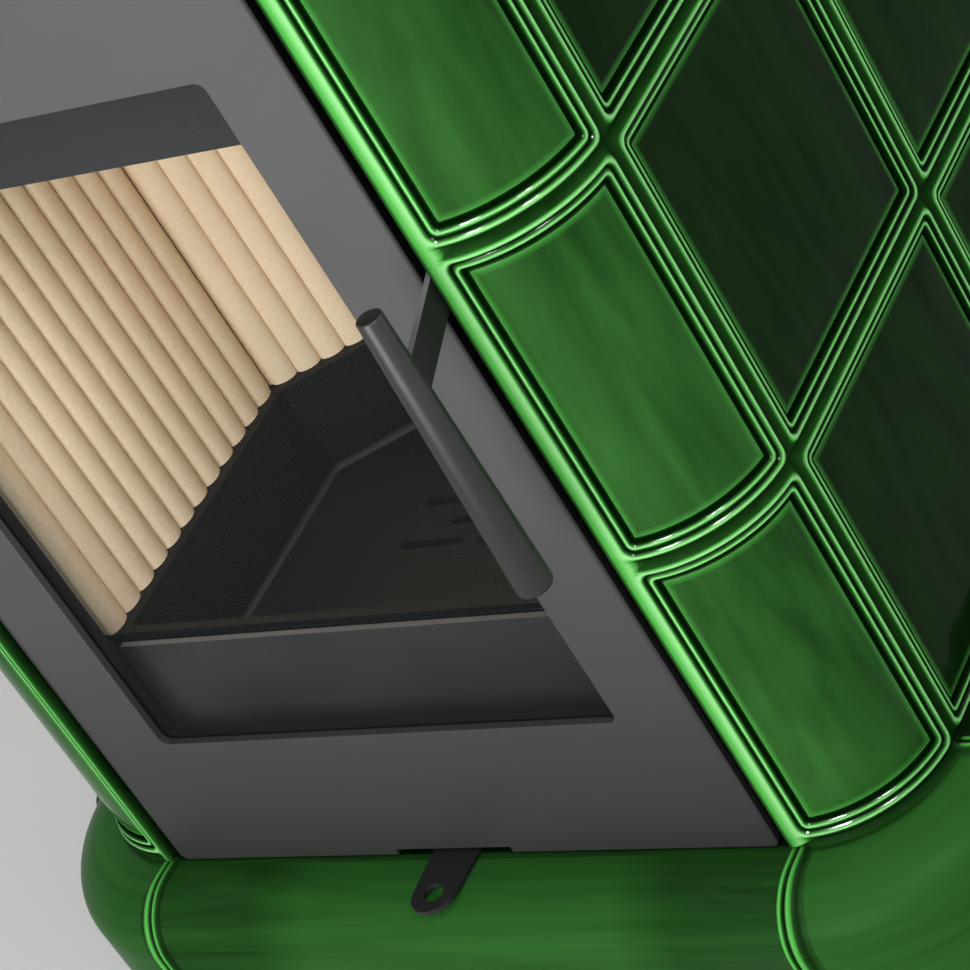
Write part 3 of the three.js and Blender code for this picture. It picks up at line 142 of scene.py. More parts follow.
# Distance from the door-side edge of a corner tile, height of its bead and depth of the glaze with
# painted light, and after the ridge how the bead dies into the joint
DOOR_BEAD = [
    (0.0, -2.6, 0.75),
    (0.05, 0.8, 0.72),
    (0.3, 1.7, 0.68),
    (0.9, 2.3, 0.6),
    (2.0, 2.6, 0.5),
    (3.8, 2.4, 0.24),
    (6.2, 1.5, 0.12),
    (8.5, 0.1, 0.05),
    (10.0, -0.9, 0.16),
    (13.0, -2.6, 0.45),
    (18.0, -4.0, 0.8),
]
BEAD_OVERHANG = 0.00185
# Difference in height over which the bead and the relief melt into each other
BLEND = 0.0009
# Power that crowds a corner tile's points towards the door
CROWDING = 1.6
# Rings of the crowned panel as shares of its band, and glaze depths with painted light over those shares,
# with a painted highlight at the panel's edge
CROWN_SHARES = (0.03, 0.12, 0.3, 0.6, 1.0)
CROWN_POOLS_AND_SHADING = [(0.0, 0.36), (0.12, 0.5), (1.0, 0.5)]
# Distance across an end bead and its height, as shares, and glaze depths with painted light over the
# distance
END_BEAD = [
    (0.0, 0.3),
    (0.06, 0.62),
    (0.16, 0.86),
    (0.3, 0.98),
    (0.42, 1.0),
    (0.56, 0.9),
    (0.7, 0.62),
    (0.82, 0.28),
    (0.92, 0.07),
    (1.0, 0.0),
]
END_BEAD_POOLS_AND_SHADING = [(0.0, 0.95), (0.12, 0.45), (0.3, 0.14), (0.5, 0.24), (0.8, 0.85), (1.0, 0.5)]
PLAIN_POOL_AND_SHADING = 0.42
# Run over which a base tile's seat meets its nose, and size of a broken edge on a moulding
SEAT_RUN = 0.004
EDGE_BREAK = 0.0008
# Faces along a quarter circle of a moulding, of a small one, of the rope's corner and of the grip
NOSE_STEPS = 16
ROUND_STEPS = 10
ROPE_STEPS = 6
GRIP_SIDES = 64
# Steps in the noise from one piece's pattern to the next
TILE_PATTERN_STEP = 3.7
MOULDING_PATTERN_STEP = 2.3
# Glaze depths with painted light up to which crests and ridges show, and from which grooves do
CREST_POOL_AND_SHADING = 0.16
RIDGE_POOL_AND_SHADING = 0.45
GROOVE_POOL_AND_SHADING = 0.5
# Grip: distances in from its side and from its end, in millimetres, at the foot and at the top
GRIP_FOOT = [(3.6, 0.0), (2.2, 0.3), (1.1, 1.0), (0.4, 2.0), (0.0, 3.4)]
GRIP_TOP = [(0.0, 0.9), (0.3, 0.4), (0.9, 0.0)]


def colour_setting(name, red, green, blue):
    """A colour setting."""
    return FloatVectorProperty(
        name=name,
        subtype="COLOR",
        size=4,
        min=0.0,
        max=1.0,
        default=(red, green, blue, 1.0),
    )


def length_setting(name, default):
    """A length setting."""
    return FloatProperty(name=name, default=default, unit="LENGTH")


def angle_setting(name, degrees):
    """An angle setting."""
    return FloatProperty(name=name, default=math.radians(degrees), unit="ROTATION")


def number_setting(name, default):
    """A plain number that isn't negative."""
    return FloatProperty(name=name, default=default, min=0.0)


def count_setting(name, default):
    """A number of faces."""
    return IntProperty(name=name, default=default, min=2)


class HeaterGlaze(bpy.types.PropertyGroup):
    """Colours and surface of the glaze"""

    # Crest and ridge colours hold thin glaze and a painted highlight, the groove colour pooled glaze and
    # painted shade
    ridge_glaze_and_highlight_colour: colour_setting("Glaze where it runs thin over a ridge, with a painted highlight", 0.085, 0.42, 0.07)
    crest_glaze_and_highlight_colour: colour_setting("Palest glaze on the crest of a ridge, with a painted highlight", 0.32, 0.68, 0.28)
    light_colour: colour_setting("Lighter clouds on a panel", 0.028, 0.125, 0.021)
    deep_colour: colour_setting("Darker clouds on a panel", 0.009, 0.043, 0.007)
    pool_and_shade_colour: colour_setting("Glaze that has run into a groove, with painted shade", 0.0008, 0.007, 0.0009)
    roughness: number_setting("Roughness of the glaze", 0.09)
    gloss: number_setting("Strength of the glaze's reflections", 0.05)


class HeaterTiles(bpy.types.PropertyGroup):
    """Sizes of the relief tiles"""

    joint: length_setting("Gap between two tiles", 0.00012)
    leaf: length_setting("Thickness of a tile's leaf", 0.014)
    depth: length_setting("Depth of a tile with its rump", 0.048)
    rump_inset: length_setting("Step from leaf to rump", 0.006)
    crown: length_setting("Rise of a panel's middle", 0.0012)
    crown_reach: length_setting("Width of the crowned band", 0.04)
    corner_steps: count_setting("Faces round a ring's corner", 7)
    turn_steps: count_setting("Faces round the heater's corner", 60)


class HeaterBase(bpy.types.PropertyGroup):
    """Sizes of the base course"""

    reach: length_setting("How far the nose stands out", 0.054)
    nose_radius: length_setting("Radius of the rounded nose", 0.036)
    top_drop: length_setting("Drop from tile line to the top", 0.005)
    sill_drop: length_setting("Drop of the seat below the door", 0.0046)
    seat: length_setting("Depth of the seat under the tiles", 0.043)
    seat_thickness: length_setting("Thickness of the seat", 0.04)
    wall: length_setting("Thickness of the upright face", 0.052)
    bead_width: length_setting("Width of the end beads", 0.0065)
    bead_height: length_setting("Height of the end beads", 0.004)


class HeaterCornice(bpy.types.PropertyGroup):
    """Sizes of the cornice"""

    reach: length_setting("How far the cornice stands out", 0.052)
    foot: length_setting("Height of the upright foot", 0.012)
    lip: length_setting("Step over the hollow", 0.008)
    round_radius: length_setting("Radius of the top edge", 0.02)


class HeaterFirebox(bpy.types.PropertyGroup):
    """Sizes of the fire lining and the trough"""

    width: length_setting("Width between the rib crests", 0.398)
    front: length_setting("Front edge behind the door face", 0.043)
    bend: length_setting("Depth of the bend behind the door face", 0.272)
    back: length_setting("Depth of the back behind the door face", 0.347)
    back_width: length_setting("Width of the back board", 0.192)
    rib_pitch: length_setting("Distance of two ribs", 0.019)
    rib_depth: length_setting("Height of a rib", 0.006)
    trough_wall: length_setting("Thickness of the trough's floor", 0.006)
    trough_fold: length_setting("Height of the painted highlight in the fold over the floor", 0.0065)


class HeaterSteel(bpy.types.PropertyGroup):
    """Colours and sizes of door, handle and castings"""

    door_colour: colour_setting("Satin paint of the door plate", 0.088, 0.088, 0.088)
    black_colour: colour_setting("Satin black paint of small steel parts", 0.014, 0.014, 0.014)
    grip_colour: colour_setting("Dark drawn steel of the grip", 0.032, 0.032, 0.032)
    casting_colour: colour_setting("Cast iron of the trough", 0.0052, 0.0051, 0.0056)
    guard_colour: colour_setting("Cast iron of the log guard", 0.032, 0.0305, 0.032)
    edge_width: length_setting("Width of the broken edges", 0.0006)
    shade_rim_width: length_setting("Painted shade along the door plate's side edges", 0.0042)
    rope_corner: length_setting("Radius of the rope's corners", 0.006)
    grip_top_radius: length_setting("Radius of the grip's thin end", 0.0075)
    grip_distance: length_setting("Thin end's axis before the door", 0.0511)


class HeaterStudio(bpy.types.PropertyGroup):
    """Camera, lamps and floor"""

    lens: number_setting("Focal length in millimetres", 129.23)
    heading: angle_setting("Camera's turn round the upright", 44.7633)
    tilt: angle_setting("Camera's turn up from straight down", 58.9763)
    roll: angle_setting("Camera's turn round its own line of sight", -32.914)
    front_power: number_setting("Power of the front lamp in watts", 8.0)
    cross_power: number_setting("Power of the cross lamp in watts", 18.0)
    firebox_power: number_setting("Power for the fire lining in watts", 12.0)
    sparkle_power: number_setting("Power of the glints in watts", 600.0)
    fill_power: number_setting("Power of the fill lamp in watts", 56.0)
    side_power: number_setting("Power of the side lamp in watts", 16.0)
    back_power: number_setting("Power of the back lamp in watts", 60.0)
    world_strength: number_setting("Strength of the surroundings", 0.15)
    floor_half: length_setting("Half the width of the floor", 9.0)
    fade_start: length_setting("Distance at which the floor starts to fade", 1.3)
    fade_end: length_setting("Distance at which the floor has faded", 4.0)


# Meshes


def interpolate(table, value, column=1):
    """A column of the table at a value of its first column."""
    for first, second in zip(table, table[1:]):
        if value <= second[0]:
            share = max(0.0, (value - first[0]) / (second[0] - first[0]))
            return first[column] + (second[column] - first[column]) * share
    return table[-1][column]


def wall_point(along, out, height):
    """A point of the wall: distance along it from the middle of the front, and distance out of it."""
    side = -1 if along < 0 else 1
    run = abs(along)
    if run <= TURN_X:
        return Vector((along, FACE_Y - out, height))
    turned = (run - TURN_X) / TURN_RADIUS
    if turned > math.pi / 2:
        return Vector((side * (SIDE_X + out), TURN_Y + run - TURN_END, height))
    reach = TURN_RADIUS + out
    x = side * (TURN_X + reach * math.sin(turned))
    return Vector((x, TURN_Y - reach * math.cos(turned), height))


def lofted_faces(loops, count, start_cap, end_cap):
    """Quads between loops of equal length, and the given faces at both ends."""
    faces = []
    for ring in range(loops - 1):
        for i in range(count):
            following = (i + 1) % count
            low = ring * count
            high = low + count
            faces.append((low + i, low + following, high + following, high + i))
    last = (loops - 1) * count
    faces += [tuple(reversed(face)) for face in start_cap]
    faces += [tuple(last + i for i in face) for face in end_cap]
    return faces


def strip_cap(count):
    """Upright strips that close a loop of the tile."""
    faces = []
    for i in range(count // 2 - 1):
        above = count - 1 - i
        faces.append((i, i + 1, above - 1, above))
    return faces


def new_piece(name, data):
    """Puts a mesh, a lamp or a camera into the scene."""
    piece = bpy.data.objects.new(name, data)
    bpy.context.scene.collection.objects.link(piece)
    return piece


def stand_for(piece, node, body):
    """Lets a piece ride on a body and stand for a node."""
    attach(piece, body)
    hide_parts(node)


def glazed_piece(node, slot, points, faces, places, pools_and_shading, crease, mirrored, *finishes):
    """A piece for a node, whose mesh carries its place on the wall and the depth of its glaze with painted
    light.
    """
    if mirrored:
        points = [(-x, y, z) for x, y, z in points]
        faces = [tuple(reversed(face)) for face in faces]
    mesh = bpy.data.meshes.new(node + "_glazed")
    mesh.from_pydata(points, [], faces)
    place = mesh.attributes.new("wall_place", "FLOAT_VECTOR", "POINT")
    place.data.foreach_set("vector", [value for spot in places for value in spot])
    pool_and_shading = mesh.attributes.new("glaze_pool", "FLOAT", "POINT")
    pool_and_shading.data.foreach_set("value", pools_and_shading)
    mesh.shade_smooth()
    mesh.set_sharp_from_angle(angle=math.radians(crease))
    for finish in finishes:
        mesh.materials.append(finish)
    mesh.update()
    stand_for(new_piece(node + "_glazed", mesh), node, BODY)
    return mesh


def dressed_copy(node, finish, body, edge, segments=2, crease=CREASE):
    """A copy of a node with broken edges, which stands for it."""
    work = bmesh.new()
    work.from_mesh(frame["nodes"][node].data)
    bmesh.ops.remove_doubles(work, verts=work.verts, dist=1e-6)
    mesh = bpy.data.meshes.new(node + "_finished")
    work.to_mesh(mesh)
    work.free()
    mesh.materials.clear()
    mesh.materials.append(finish)
    piece = new_piece(node + "_finished", mesh)
    stand_for(piece, node, body)
    bevel = piece.modifiers.new("Broken edges", "BEVEL")
    bevel.width = edge
    bevel.segments = segments
    bevel.limit_method = "ANGLE"
    bevel.angle_limit = math.radians(30)
    settle(piece, crease)
    return piece


def make_plain(piece):
    """Gives a piece the mesh that its modifiers make, and clears them."""
    graph = bpy.context.evaluated_depsgraph_get()
    mesh = bpy.data.meshes.new_from_object(piece.evaluated_get(graph))
    piece.modifiers.clear()
    piece.data = mesh
    return mesh


def settle(piece, crease=CREASE):
    """Turns a piece's modifiers into plain mesh, smooth at its edges and even on its flat faces."""
    mesh = make_plain(piece)
    mesh.shade_smooth()
    mesh.set_sharp_from_angle(angle=math.radians(crease))
    even = piece.modifiers.new("Even flat faces", "WEIGHTED_NORMAL")
    even.keep_sharp = True
    make_plain(piece)


# Shader nodes


def add_node(tree, kind, sockets, settings):
    """A node with its settings, and its sockets filled by values or links."""
    node = tree.nodes.new(kind)
    for key, value in settings.items():
        setattr(node, key, value)
    for key, value in (sockets or {}).items():
        if isinstance(value, bpy.types.NodeSocket):
            tree.links.new(value, node.inputs[key])
        else:
            node.inputs[key].default_value = value
    return node


def add(tree, kind, sockets=None, **settings):
    """A shader node."""
    return add_node(tree, "ShaderNode" + kind, sockets, settings)


def noise(tree, place, scale, detail=4.0, distortion=0.0, roughness=0.5):
    """Value of a noise texture."""
    sockets = {
        "Vector": place,
        "Scale": scale,
        "Detail": detail,
        "Roughness": roughness,
        "Distortion": distortion,
    }
    return add(tree, "TexNoise", sockets).outputs[0]


def remap(tree, value, low, high, new_low, new_high):
    """A value moved from one range to another, and kept inside it."""
    sockets = {"Value": value, "From Min": low, "From Max": high, "To Min": new_low, "To Max": new_high}
    return add(tree, "MapRange", sockets).outputs["Result"]


def vary(tree, pattern, low, high, spread=0.2):
    """A noise, which lies round 0.5, moved to a range."""
    return remap(tree, pattern, 0.5 - spread, 0.5 + spread, low, high)


def smooth_step(tree, value, low, high):
    """0 up to the low value and 1 from the high one, with a soft change between them."""
    sockets = {"Value": value, "From Min": low, "From Max": high}
    return add(tree, "MapRange", sockets, interpolation_type="SMOOTHSTEP").outputs["Result"]


def blend_colours(tree, share, first, second):
    """Mixes two colours."""
    return add(tree, "Mix", {0: share, 6: first, 7: second}, data_type="RGBA").outputs[2]


def scaled(colour, factor):
    """A colour made lighter or darker."""
    return tuple(min(1.0, value * factor) for value in colour[:3]) + (1.0,)


def stretched(tree, place, scale):
    """A place stretched along its axes."""
    return add(tree, "Mapping", {"Vector": place, "Scale": scale}).outputs["Vector"]


def combine(tree, operation, first, second):
    """A calculation with two values."""
    return add(tree, "Math", {0: first, 1: second}, operation=operation).outputs[0]


def raised(tree, height, strength, distance, normal=None):
    """A normal that follows a height."""
    sockets = {"Strength": strength, "Distance": distance, "Height": height}
    if normal is not None:
        sockets["Normal"] = normal
    return add(tree, "Bump", sockets).outputs["Normal"]


def seen_directly(tree):
    """1 for what the camera sees straight, in a mirror or through glass, and 0 for soft light."""
    path = add(tree, "LightPath").outputs
    mirrored = combine(tree, "MAXIMUM", path["Is Glossy Ray"], path["Is Transmission Ray"])
    return combine(tree, "MAXIMUM", path["Is Camera Ray"], mirrored)


def weigh(tree, coarse, fine, share, spread=0.2):
    """Sum of two noises, in which the coarse one has the given share."""
    return combine(tree, "ADD", vary(tree, coarse, 0.0, share), vary(tree, fine, 0.0, 1.0 - share, spread))


def object_place(tree):
    """Place in the object's own coordinates."""
    return add(tree, "TexCoord").outputs["Object"]


def attribute(tree, name, output="Fac"):
    """Value of a mesh attribute."""
    return add(tree, "Attribute", attribute_name=name).outputs[output]


def new_finish(name, colour, **sockets):
    """A material with its shader, whose uniform values are set on the shader's own sockets."""
    material = bpy.data.materials.new(name)
    material.use_nodes = True
    shader = material.node_tree.nodes["Principled BSDF"]
    shader.inputs["Base Color"].default_value = colour
    material.diffuse_color = colour
    for key, value in sockets.items():
        shader.inputs[key.replace("_", " ")].default_value = value
    return material, material.node_tree, shader


def connect(tree, shader, **sockets):
    """Feeds sockets of a shader."""
    for key, output in sockets.items():
        tree.links.new(output, shader.inputs[key.replace("_", " ")])


def glaze_finish(name, streaks, shade, gloss, fall=0.0, matt=0.0):
    """Glaze over relief: crests pale from thin glaze and a painted highlight, grooves dark from pooled
    glaze and painted shade, clouds, and darker to a tile's far top corner.
    """
    glaze = bpy.context.scene.heater_glaze
    material, tree, shader = new_finish(name, glaze.light_colour, IOR=1.5, Specular_IOR_Level=gloss)
    place = attribute(tree, "wall_place", "Vector")
    pool_and_shading = attribute(tree, "glaze_pool")
    clouds = noise(tree, stretched(tree, place, streaks), 1.0, 5.0, 0.9, 0.55)
    fine_streaks = tuple(value * 3.1 for value in streaks)
    wisps = noise(tree, stretched(tree, place, fine_streaks), 1.0, 3.0, 0.4)
    spot = add(tree, "SeparateXYZ", {0: place}).outputs
    tone = weigh(tree, clouds, wisps, 0.75, 0.15)
    tone = combine(tree, "ADD", tone, remap(tree, spot["Y"], 0.03, 0.2, fall, -fall))
    tone = combine(tree, "ADD", tone, remap(tree, spot["X"], 0.01, 0.12, fall * 0.7, -fall * 0.7))
    deep, light = scaled(glaze.deep_colour, shade), scaled(glaze.light_colour, shade)
    paint = blend_colours(tree, remap(tree, tone, 0.0, 1.0, 0.0, 1.0), deep, light)
    # Painted light: crests and ridges paler as a painted highlight, grooves darker as painted shade
    for low, high, at_low, at_high, over in (
        (CREST_POOL_AND_SHADING, RIDGE_POOL_AND_SHADING, 1.0, 0.0, glaze.ridge_glaze_and_highlight_colour),
        (0.0, CREST_POOL_AND_SHADING, 1.0, 0.0, glaze.crest_glaze_and_highlight_colour),
        (GROOVE_POOL_AND_SHADING, 1.0, 0.0, 1.0, glaze.pool_and_shade_colour),
    ):
        paint = blend_colours(tree, remap(tree, pool_and_shading, low, high, at_low, at_high), paint, over)
    flow = raised(tree, noise(tree, place, 38.0, 2.0), 0.16, 0.002)
    normal = raised(tree, noise(tree, place, 900.0, 2.0), 0.03, 0.0003, flow)
    surface = vary(tree, clouds, glaze.roughness * 0.7 + matt, glaze.roughness * 1.6 + matt)
    connect(tree, shader, Base_Color=paint, Roughness=surface, Normal=normal)
    return material


def painted_finish(name, colour, roughness, grain=2200.0, depth=0.00012, half_width=None):
    """Satin stove paint on sheet steel: fine grain and faint clouds; given a half width, painted shade
    along the side edges and towards the foot.
    """
    material, tree, shader = new_finish(name, colour, IOR=1.45, Specular_IOR_Level=0.22)
    place = object_place(tree)
    clouds = noise(tree, place, 6.0, 4.0)
    specks = noise(tree, place, grain, 2.0)
    tone = weigh(tree, clouds, specks, 0.6)
    paint = blend_colours(tree, tone, scaled(colour, 0.86), scaled(colour, 1.14))
    # Painted shade: near black towards the plate's side edges, and darker towards its foot
    if half_width:
        shade_rim_width = bpy.context.scene.heater_steel.shade_rim_width
        spot = add(tree, "SeparateXYZ", {0: place}).outputs
        run = combine(tree, "ABSOLUTE", spot["X"], 0.0)
        rim = smooth_step(tree, run, half_width - shade_rim_width, half_width)
        paint = blend_colours(tree, rim, paint, (0.004, 0.004, 0.004, 1.0))
        low = remap(tree, spot["Z"], plate_low.z + 0.06, plate_low.z + 0.36, 0.9, 0.0)
        paint = blend_colours(tree, low, paint, scaled(colour, 0.3))
    surface = vary(tree, clouds, roughness * 0.88, roughness * 1.12)
    connect(tree, shader, Base_Color=paint, Roughness=surface, Normal=raised(tree, specks, 0.25, depth))
    return material


def drawn_steel_finish(name, colour):
    """Dark drawn steel with fine lines along the bar."""
    material, tree, shader = new_finish(name, colour, Metallic=0.75, IOR=1.8)
    place = object_place(tree)
    lines = noise(tree, stretched(tree, place, (2600.0, 2600.0, 14.0)), 1.0, 3.0)
    steel = blend_colours(tree, vary(tree, lines, 0.0, 1.0), scaled(colour, 0.85), scaled(colour, 1.15))
    surface = vary(tree, noise(tree, place, 30.0, 3.0), 0.34, 0.46)
    connect(tree, shader, Base_Color=steel, Roughness=surface, Normal=raised(tree, lines, 0.15, 0.0001))
    return material


def casting_finish(name, colour, roughness, painted_highlight, fold_top=None):
    """Cast iron: pebbled skin, soot in soft clouds, and a painted highlight where the mesh says so."""
    material, tree, shader = new_finish(name, colour, IOR=1.5, Specular_IOR_Level=0.12)
    place = object_place(tree)
    skin = noise(tree, place, 700.0, 4.0)
    soot = noise(tree, place, 9.0, 5.0, 0.6)
    fold = attribute(tree, "fold")
    if fold_top:
        height = add(tree, "SeparateXYZ", {0: place}).outputs["Z"]
        fold = combine(tree, "MULTIPLY", fold, remap(tree, height, fold_top - 0.004, fold_top, 1.0, 0.0))
    iron = blend_colours(tree, weigh(tree, soot, skin, 0.7), scaled(colour, 0.6), scaled(colour, 1.35))
    iron = blend_colours(tree, fold, iron, painted_highlight)
    surface = vary(tree, soot, roughness * 0.85, roughness * 1.15)
    connect(tree, shader, Base_Color=iron, Roughness=surface, Normal=raised(tree, skin, 0.35, 0.0003))
    return material


def mineral_finish(name, colour, grain, depth, contrast):
    """Pressed board or masonry: grain, specks and faint stains."""
    material, tree, shader = new_finish(name, colour, IOR=1.4, Specular_IOR_Level=0.25)
    place = object_place(tree)
    stains = noise(tree, place, 7.0, 5.0, 0.4)
    grains = noise(tree, place, grain, 5.0)
    cells = add(tree, "TexVoronoi", {"Vector": place, "Scale": grain * 0.6}).outputs["Distance"]
    dark, light = scaled(colour, 1.0 - contrast), scaled(colour, 1.0 + contrast * 0.6)
    mineral = blend_colours(tree, weigh(tree, stains, grains, 0.5, 0.15), dark, light)
    normal = raised(tree, grains, 0.35, depth, raised(tree, cells, 0.2, depth))
    connect(tree, shader, Base_Color=mineral, Roughness=vary(tree, grains, 0.8, 0.95), Normal=normal)
    return material


def rope_finish(name, colour):
    """Fibre rope: short dark and light threads."""
    material, tree, shader = new_finish(name, colour, Roughness=0.9)
    threads = noise(tree, object_place(tree), 1500.0, 3.0)
    rope = blend_colours(tree, vary(tree, threads, 0.0, 1.0), scaled(colour, 0.5), scaled(colour, 1.6))
    connect(tree, shader, Base_Color=rope, Normal=raised(tree, threads, 0.6, 0.0003))
    return material


def pane_finish(name):
    """Clear fire glass with a trace of haze."""
    tint = (0.05, 0.06, 0.06, 1.0)
    material, tree, shader = new_finish(name, tint, IOR=1.47, Specular_IOR_Level=0.3, Alpha=0.07)
    haze = noise(tree, object_place(tree), 5.0, 4.0)
    connect(tree, shader, Roughness=vary(tree, haze, 0.01, 0.05))
    material.surface_render_method = "BLENDED"
    return material


# Glazed pieces


def relief_tile(node, slot, start, end, bottom, steps, beaded, mirrored, seed, finish, matt):
    """A stove tile with two ridges round a crowned panel, bent along the wall."""
    tiles = bpy.context.scene.heater_tiles
    corners = tiles.corner_steps
    left = start + tiles.joint / 2
    right = end - tiles.joint / 2
    low = bottom + tiles.joint / 2
    high = bottom + MODULE - tiles.joint / 2
    power = CROWDING if beaded else 1.0
    points, places, pools_and_shading = [], [], []

    def ring(inset, out, radius, left_inset, pool_and_shading, bead=False):
        spots = []

        def corner(centre, height, first):
            for i in range(corners + 1):
                angle = first + math.pi / 2 * i / corners
                spots.append((centre + radius * math.cos(angle), height + radius * math.sin(angle)))

        def edge(first, last, height):
            for i in range(1, steps):
                share = (i / steps) ** power if first < last else 1 - (1 - i / steps) ** power
                spots.append((first + (last - first) * share, height))

        near, far = left + left_inset + radius, right - inset - radius
        corner(near, low + inset + radius, math.pi)
        edge(near, far, low + inset)
        corner(far, low + inset + radius, math.pi * 1.5)
        corner(far, high - inset - radius, 0.0)
        edge(far, near, high - inset)
        corner(near, high - inset - radius, math.pi / 2)
        for along, height in spots:
            run = (along - left) * 1000
            rise = interpolate(DOOR_BEAD, run) / 1000 if bead else -1.0
            over = min(1.0, max(0.0, 0.5 + (rise - out) / (2 * BLEND)))
            points.append(wall_point(along, max(out, rise) + over * (1 - over) * BLEND, height))
            places.append((along - left, height - low, seed * TILE_PATTERN_STEP))
            pools_and_shading.append(pool_and_shading + (interpolate(DOOR_BEAD, run, 2) - pool_and_shading) * over)
        return len(spots)

    sharp = CORNER_RADII[0][1] / 1000
    jamb, rump, shift = 0.0, tiles.rump_inset, 0.0
    if beaded:
        jamb = rump = BEAD_OVERHANG
        shift = (DOOR_BEAD[RIDGE][0] - RELIEF[RIDGE][0]) / 1000
    ring(tiles.rump_inset, -tiles.depth, sharp, rump, 1.0)
    ring(tiles.rump_inset, -tiles.leaf, sharp, rump, 1.0)
    ring(0.0, -tiles.leaf, sharp, jamb, 1.0)
    for row, (inset, height, pool_and_shading) in enumerate(RELIEF):
        radius = interpolate(CORNER_RADII, inset) / 1000
        inset, out = inset / 1000, height / 1000
        if beaded and row <= RIDGE:
            ring(inset, out, radius, DOOR_BEAD[row][0] / 1000, pool_and_shading, True)
        else:
            ring(inset, out, radius, inset + shift, pool_and_shading)
    for share in CROWN_SHARES:
        inset = RELIEF[-1][0] / 1000 + tiles.crown_reach * share
        out = RELIEF[-1][1] / 1000 + tiles.crown * (1 - (1 - share) ** 2)
        count = ring(inset, out, sharp, inset + shift, interpolate(CROWN_POOLS_AND_SHADING, share))
    faces = lofted_faces(len(points) // count, count, strip_cap(count), strip_cap(count))
    mesh = glazed_piece(node, slot, points, faces, places, pools_and_shading, TILE_CREASE, mirrored, finish, matt)
    dull = [1] * (RUMP_RINGS + MATT_ROWS)
    for first, second in zip(RELIEF[MATT_ROWS:], RELIEF[MATT_ROWS + 1 :]):
        dull.append(int(min(first[2], second[2]) >= MATT_POOL_AND_SHADING))
    rows = [dull[i // count] if i // count < len(dull) else 0 for i in range(len(faces))]
    mesh.polygons.foreach_set("material_index", rows)


def moulding(node, slot, profile_at, stations, mirrored, seed, finish):
    """A profile drawn along the wall; each station gives the rise of its bead and its glaze depth with
    painted light.
    """
    points, places, pools_and_shading = [], [], []
    for along, rise, pool_and_shading in stations:
        profile = profile_at(rise)
        run = 0.0
        for i, (out, height, fold) in enumerate(profile):
            if i:
                run += math.dist(profile[i - 1][:2], (out, height))
            points.append(wall_point(along, out, height))
            places.append((along, run, seed * MOULDING_PATTERN_STEP))
            pools_and_shading.append(max(pool_and_shading, fold))
    count = len(profile)
    cap = [tuple(range(count))]
    faces = lofted_faces(len(stations), count, cap, cap)
    glazed_piece(node, slot, points, faces, places, pools_and_shading, MOULDING_CREASE, mirrored, finish)


def quarter(out, height, radius, steps, pool_and_shading, way=-1):
    """A quarter circle of a profile round a centre, from its top outwards, or inwards with way 1."""
    spots = []
    for i in range(steps + 1):
        angle = math.pi / 2 * (1 + way * i / steps)
        spots.append((out + radius * math.cos(angle), height + radius * math.sin(angle), pool_and_shading))
    return spots


def base_profile(seat_drop):
    """Profile of a base tile as places out of the wall, heights and glaze depths with painted light."""
    base = bpy.context.scene.heater_base
    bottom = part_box("base_tile_front")[0].z

    def at(rise):
        top = TILE_LINE - base.top_drop + rise
        seat = max(TILE_LINE - seat_drop, top)
        radius = base.nose_radius + rise
        out = base.reach - base.bead_height - base.nose_radius
        height = TILE_LINE - base.top_drop - base.nose_radius
        # The strip of the top against the door and tiles is dark as painted shade
        profile = [
            (-base.seat, TILE_LINE - seat_drop, 1.0),
            (-SEAT_RUN, seat, 1.0),
            (-SEAT_RUN * 0.8, seat - SEAT_RUN * 0.05, 0.8),
            (-SEAT_RUN / 2, top, 0.55),
            (SEAT_RUN / 2, top, 0.3),
        ]
        profile += quarter(out, height, radius, NOSE_STEPS, 0.0)
        profile += [(out + radius, height + (bottom - height) * share, 0.0) for share in (0.33, 0.66, 0.95)]
        profile += [
            (out + radius - EDGE_BREAK, bottom, 0.8),
            (base.reach - base.wall, bottom, 1.0),
            (base.reach - base.wall, TILE_LINE - base.seat_thickness, 1.0),
            (-base.seat, TILE_LINE - base.seat_thickness, 1.0),
        ]
        return profile

    return at


def beaded_stations(start, end, steps):
    """Stations of a base tile, with a bead at each end."""
    base = bpy.context.scene.heater_base
    joint = bpy.context.scene.heater_tiles.joint
    first, last = start + joint / 2, end - joint / 2
    rising = []
    for across, up in END_BEAD:
        pool_and_shading = interpolate(END_BEAD_POOLS_AND_SHADING, across)
        rising.append((base.bead_width * across, base.bead_height * up, pool_and_shading))
    stations = [(first + run, rise, pool_and_shading) for run, rise, pool_and_shading in rising]
    inner_first, inner_last = first + base.bead_width, last - base.bead_width
    for i in range(1, steps):
        stations.append((inner_first + (inner_last - inner_first) * i / steps, 0.0, PLAIN_POOL_AND_SHADING))
    stations += [(last - run, rise, pool_and_shading) for run, rise, pool_and_shading in reversed(rising)]
    return stations


def cornice_profile(rise):
    """Profile of the cornice, the same at each station: rounded top, lip, hollow and foot."""
    cornice = bpy.context.scene.heater_cornice
    depth = bpy.context.scene.heater_tiles.depth
    hollow = cornice.reach - cornice.lip
    bottom, top = cornice_low.z, cornice_high.z
    rounding = cornice.round_radius
    foot = bottom + cornice.foot
    step = foot + hollow
    profile = [(-depth, top, 1.0)]
    profile += quarter(cornice.reach - rounding, top - rounding, rounding, ROUND_STEPS, 0.45)
    # The lip's edge takes a painted highlight, and the step under the lip painted shade
    profile += [
        (cornice.reach, step + 0.004, PLAIN_POOL_AND_SHADING),
        (cornice.reach, step + EDGE_BREAK, CREST_POOL_AND_SHADING),
        (cornice.reach - EDGE_BREAK, step, 0.3),
        (hollow + 0.0006, step, 0.9),
    ]
    profile += quarter(hollow, foot, hollow, NOSE_STEPS, 0.45, 1)
    profile += [(0.0, bottom + 0.001, 0.3), (-0.001, bottom, 0.9), (-depth, bottom, 1.0)]
    return profile


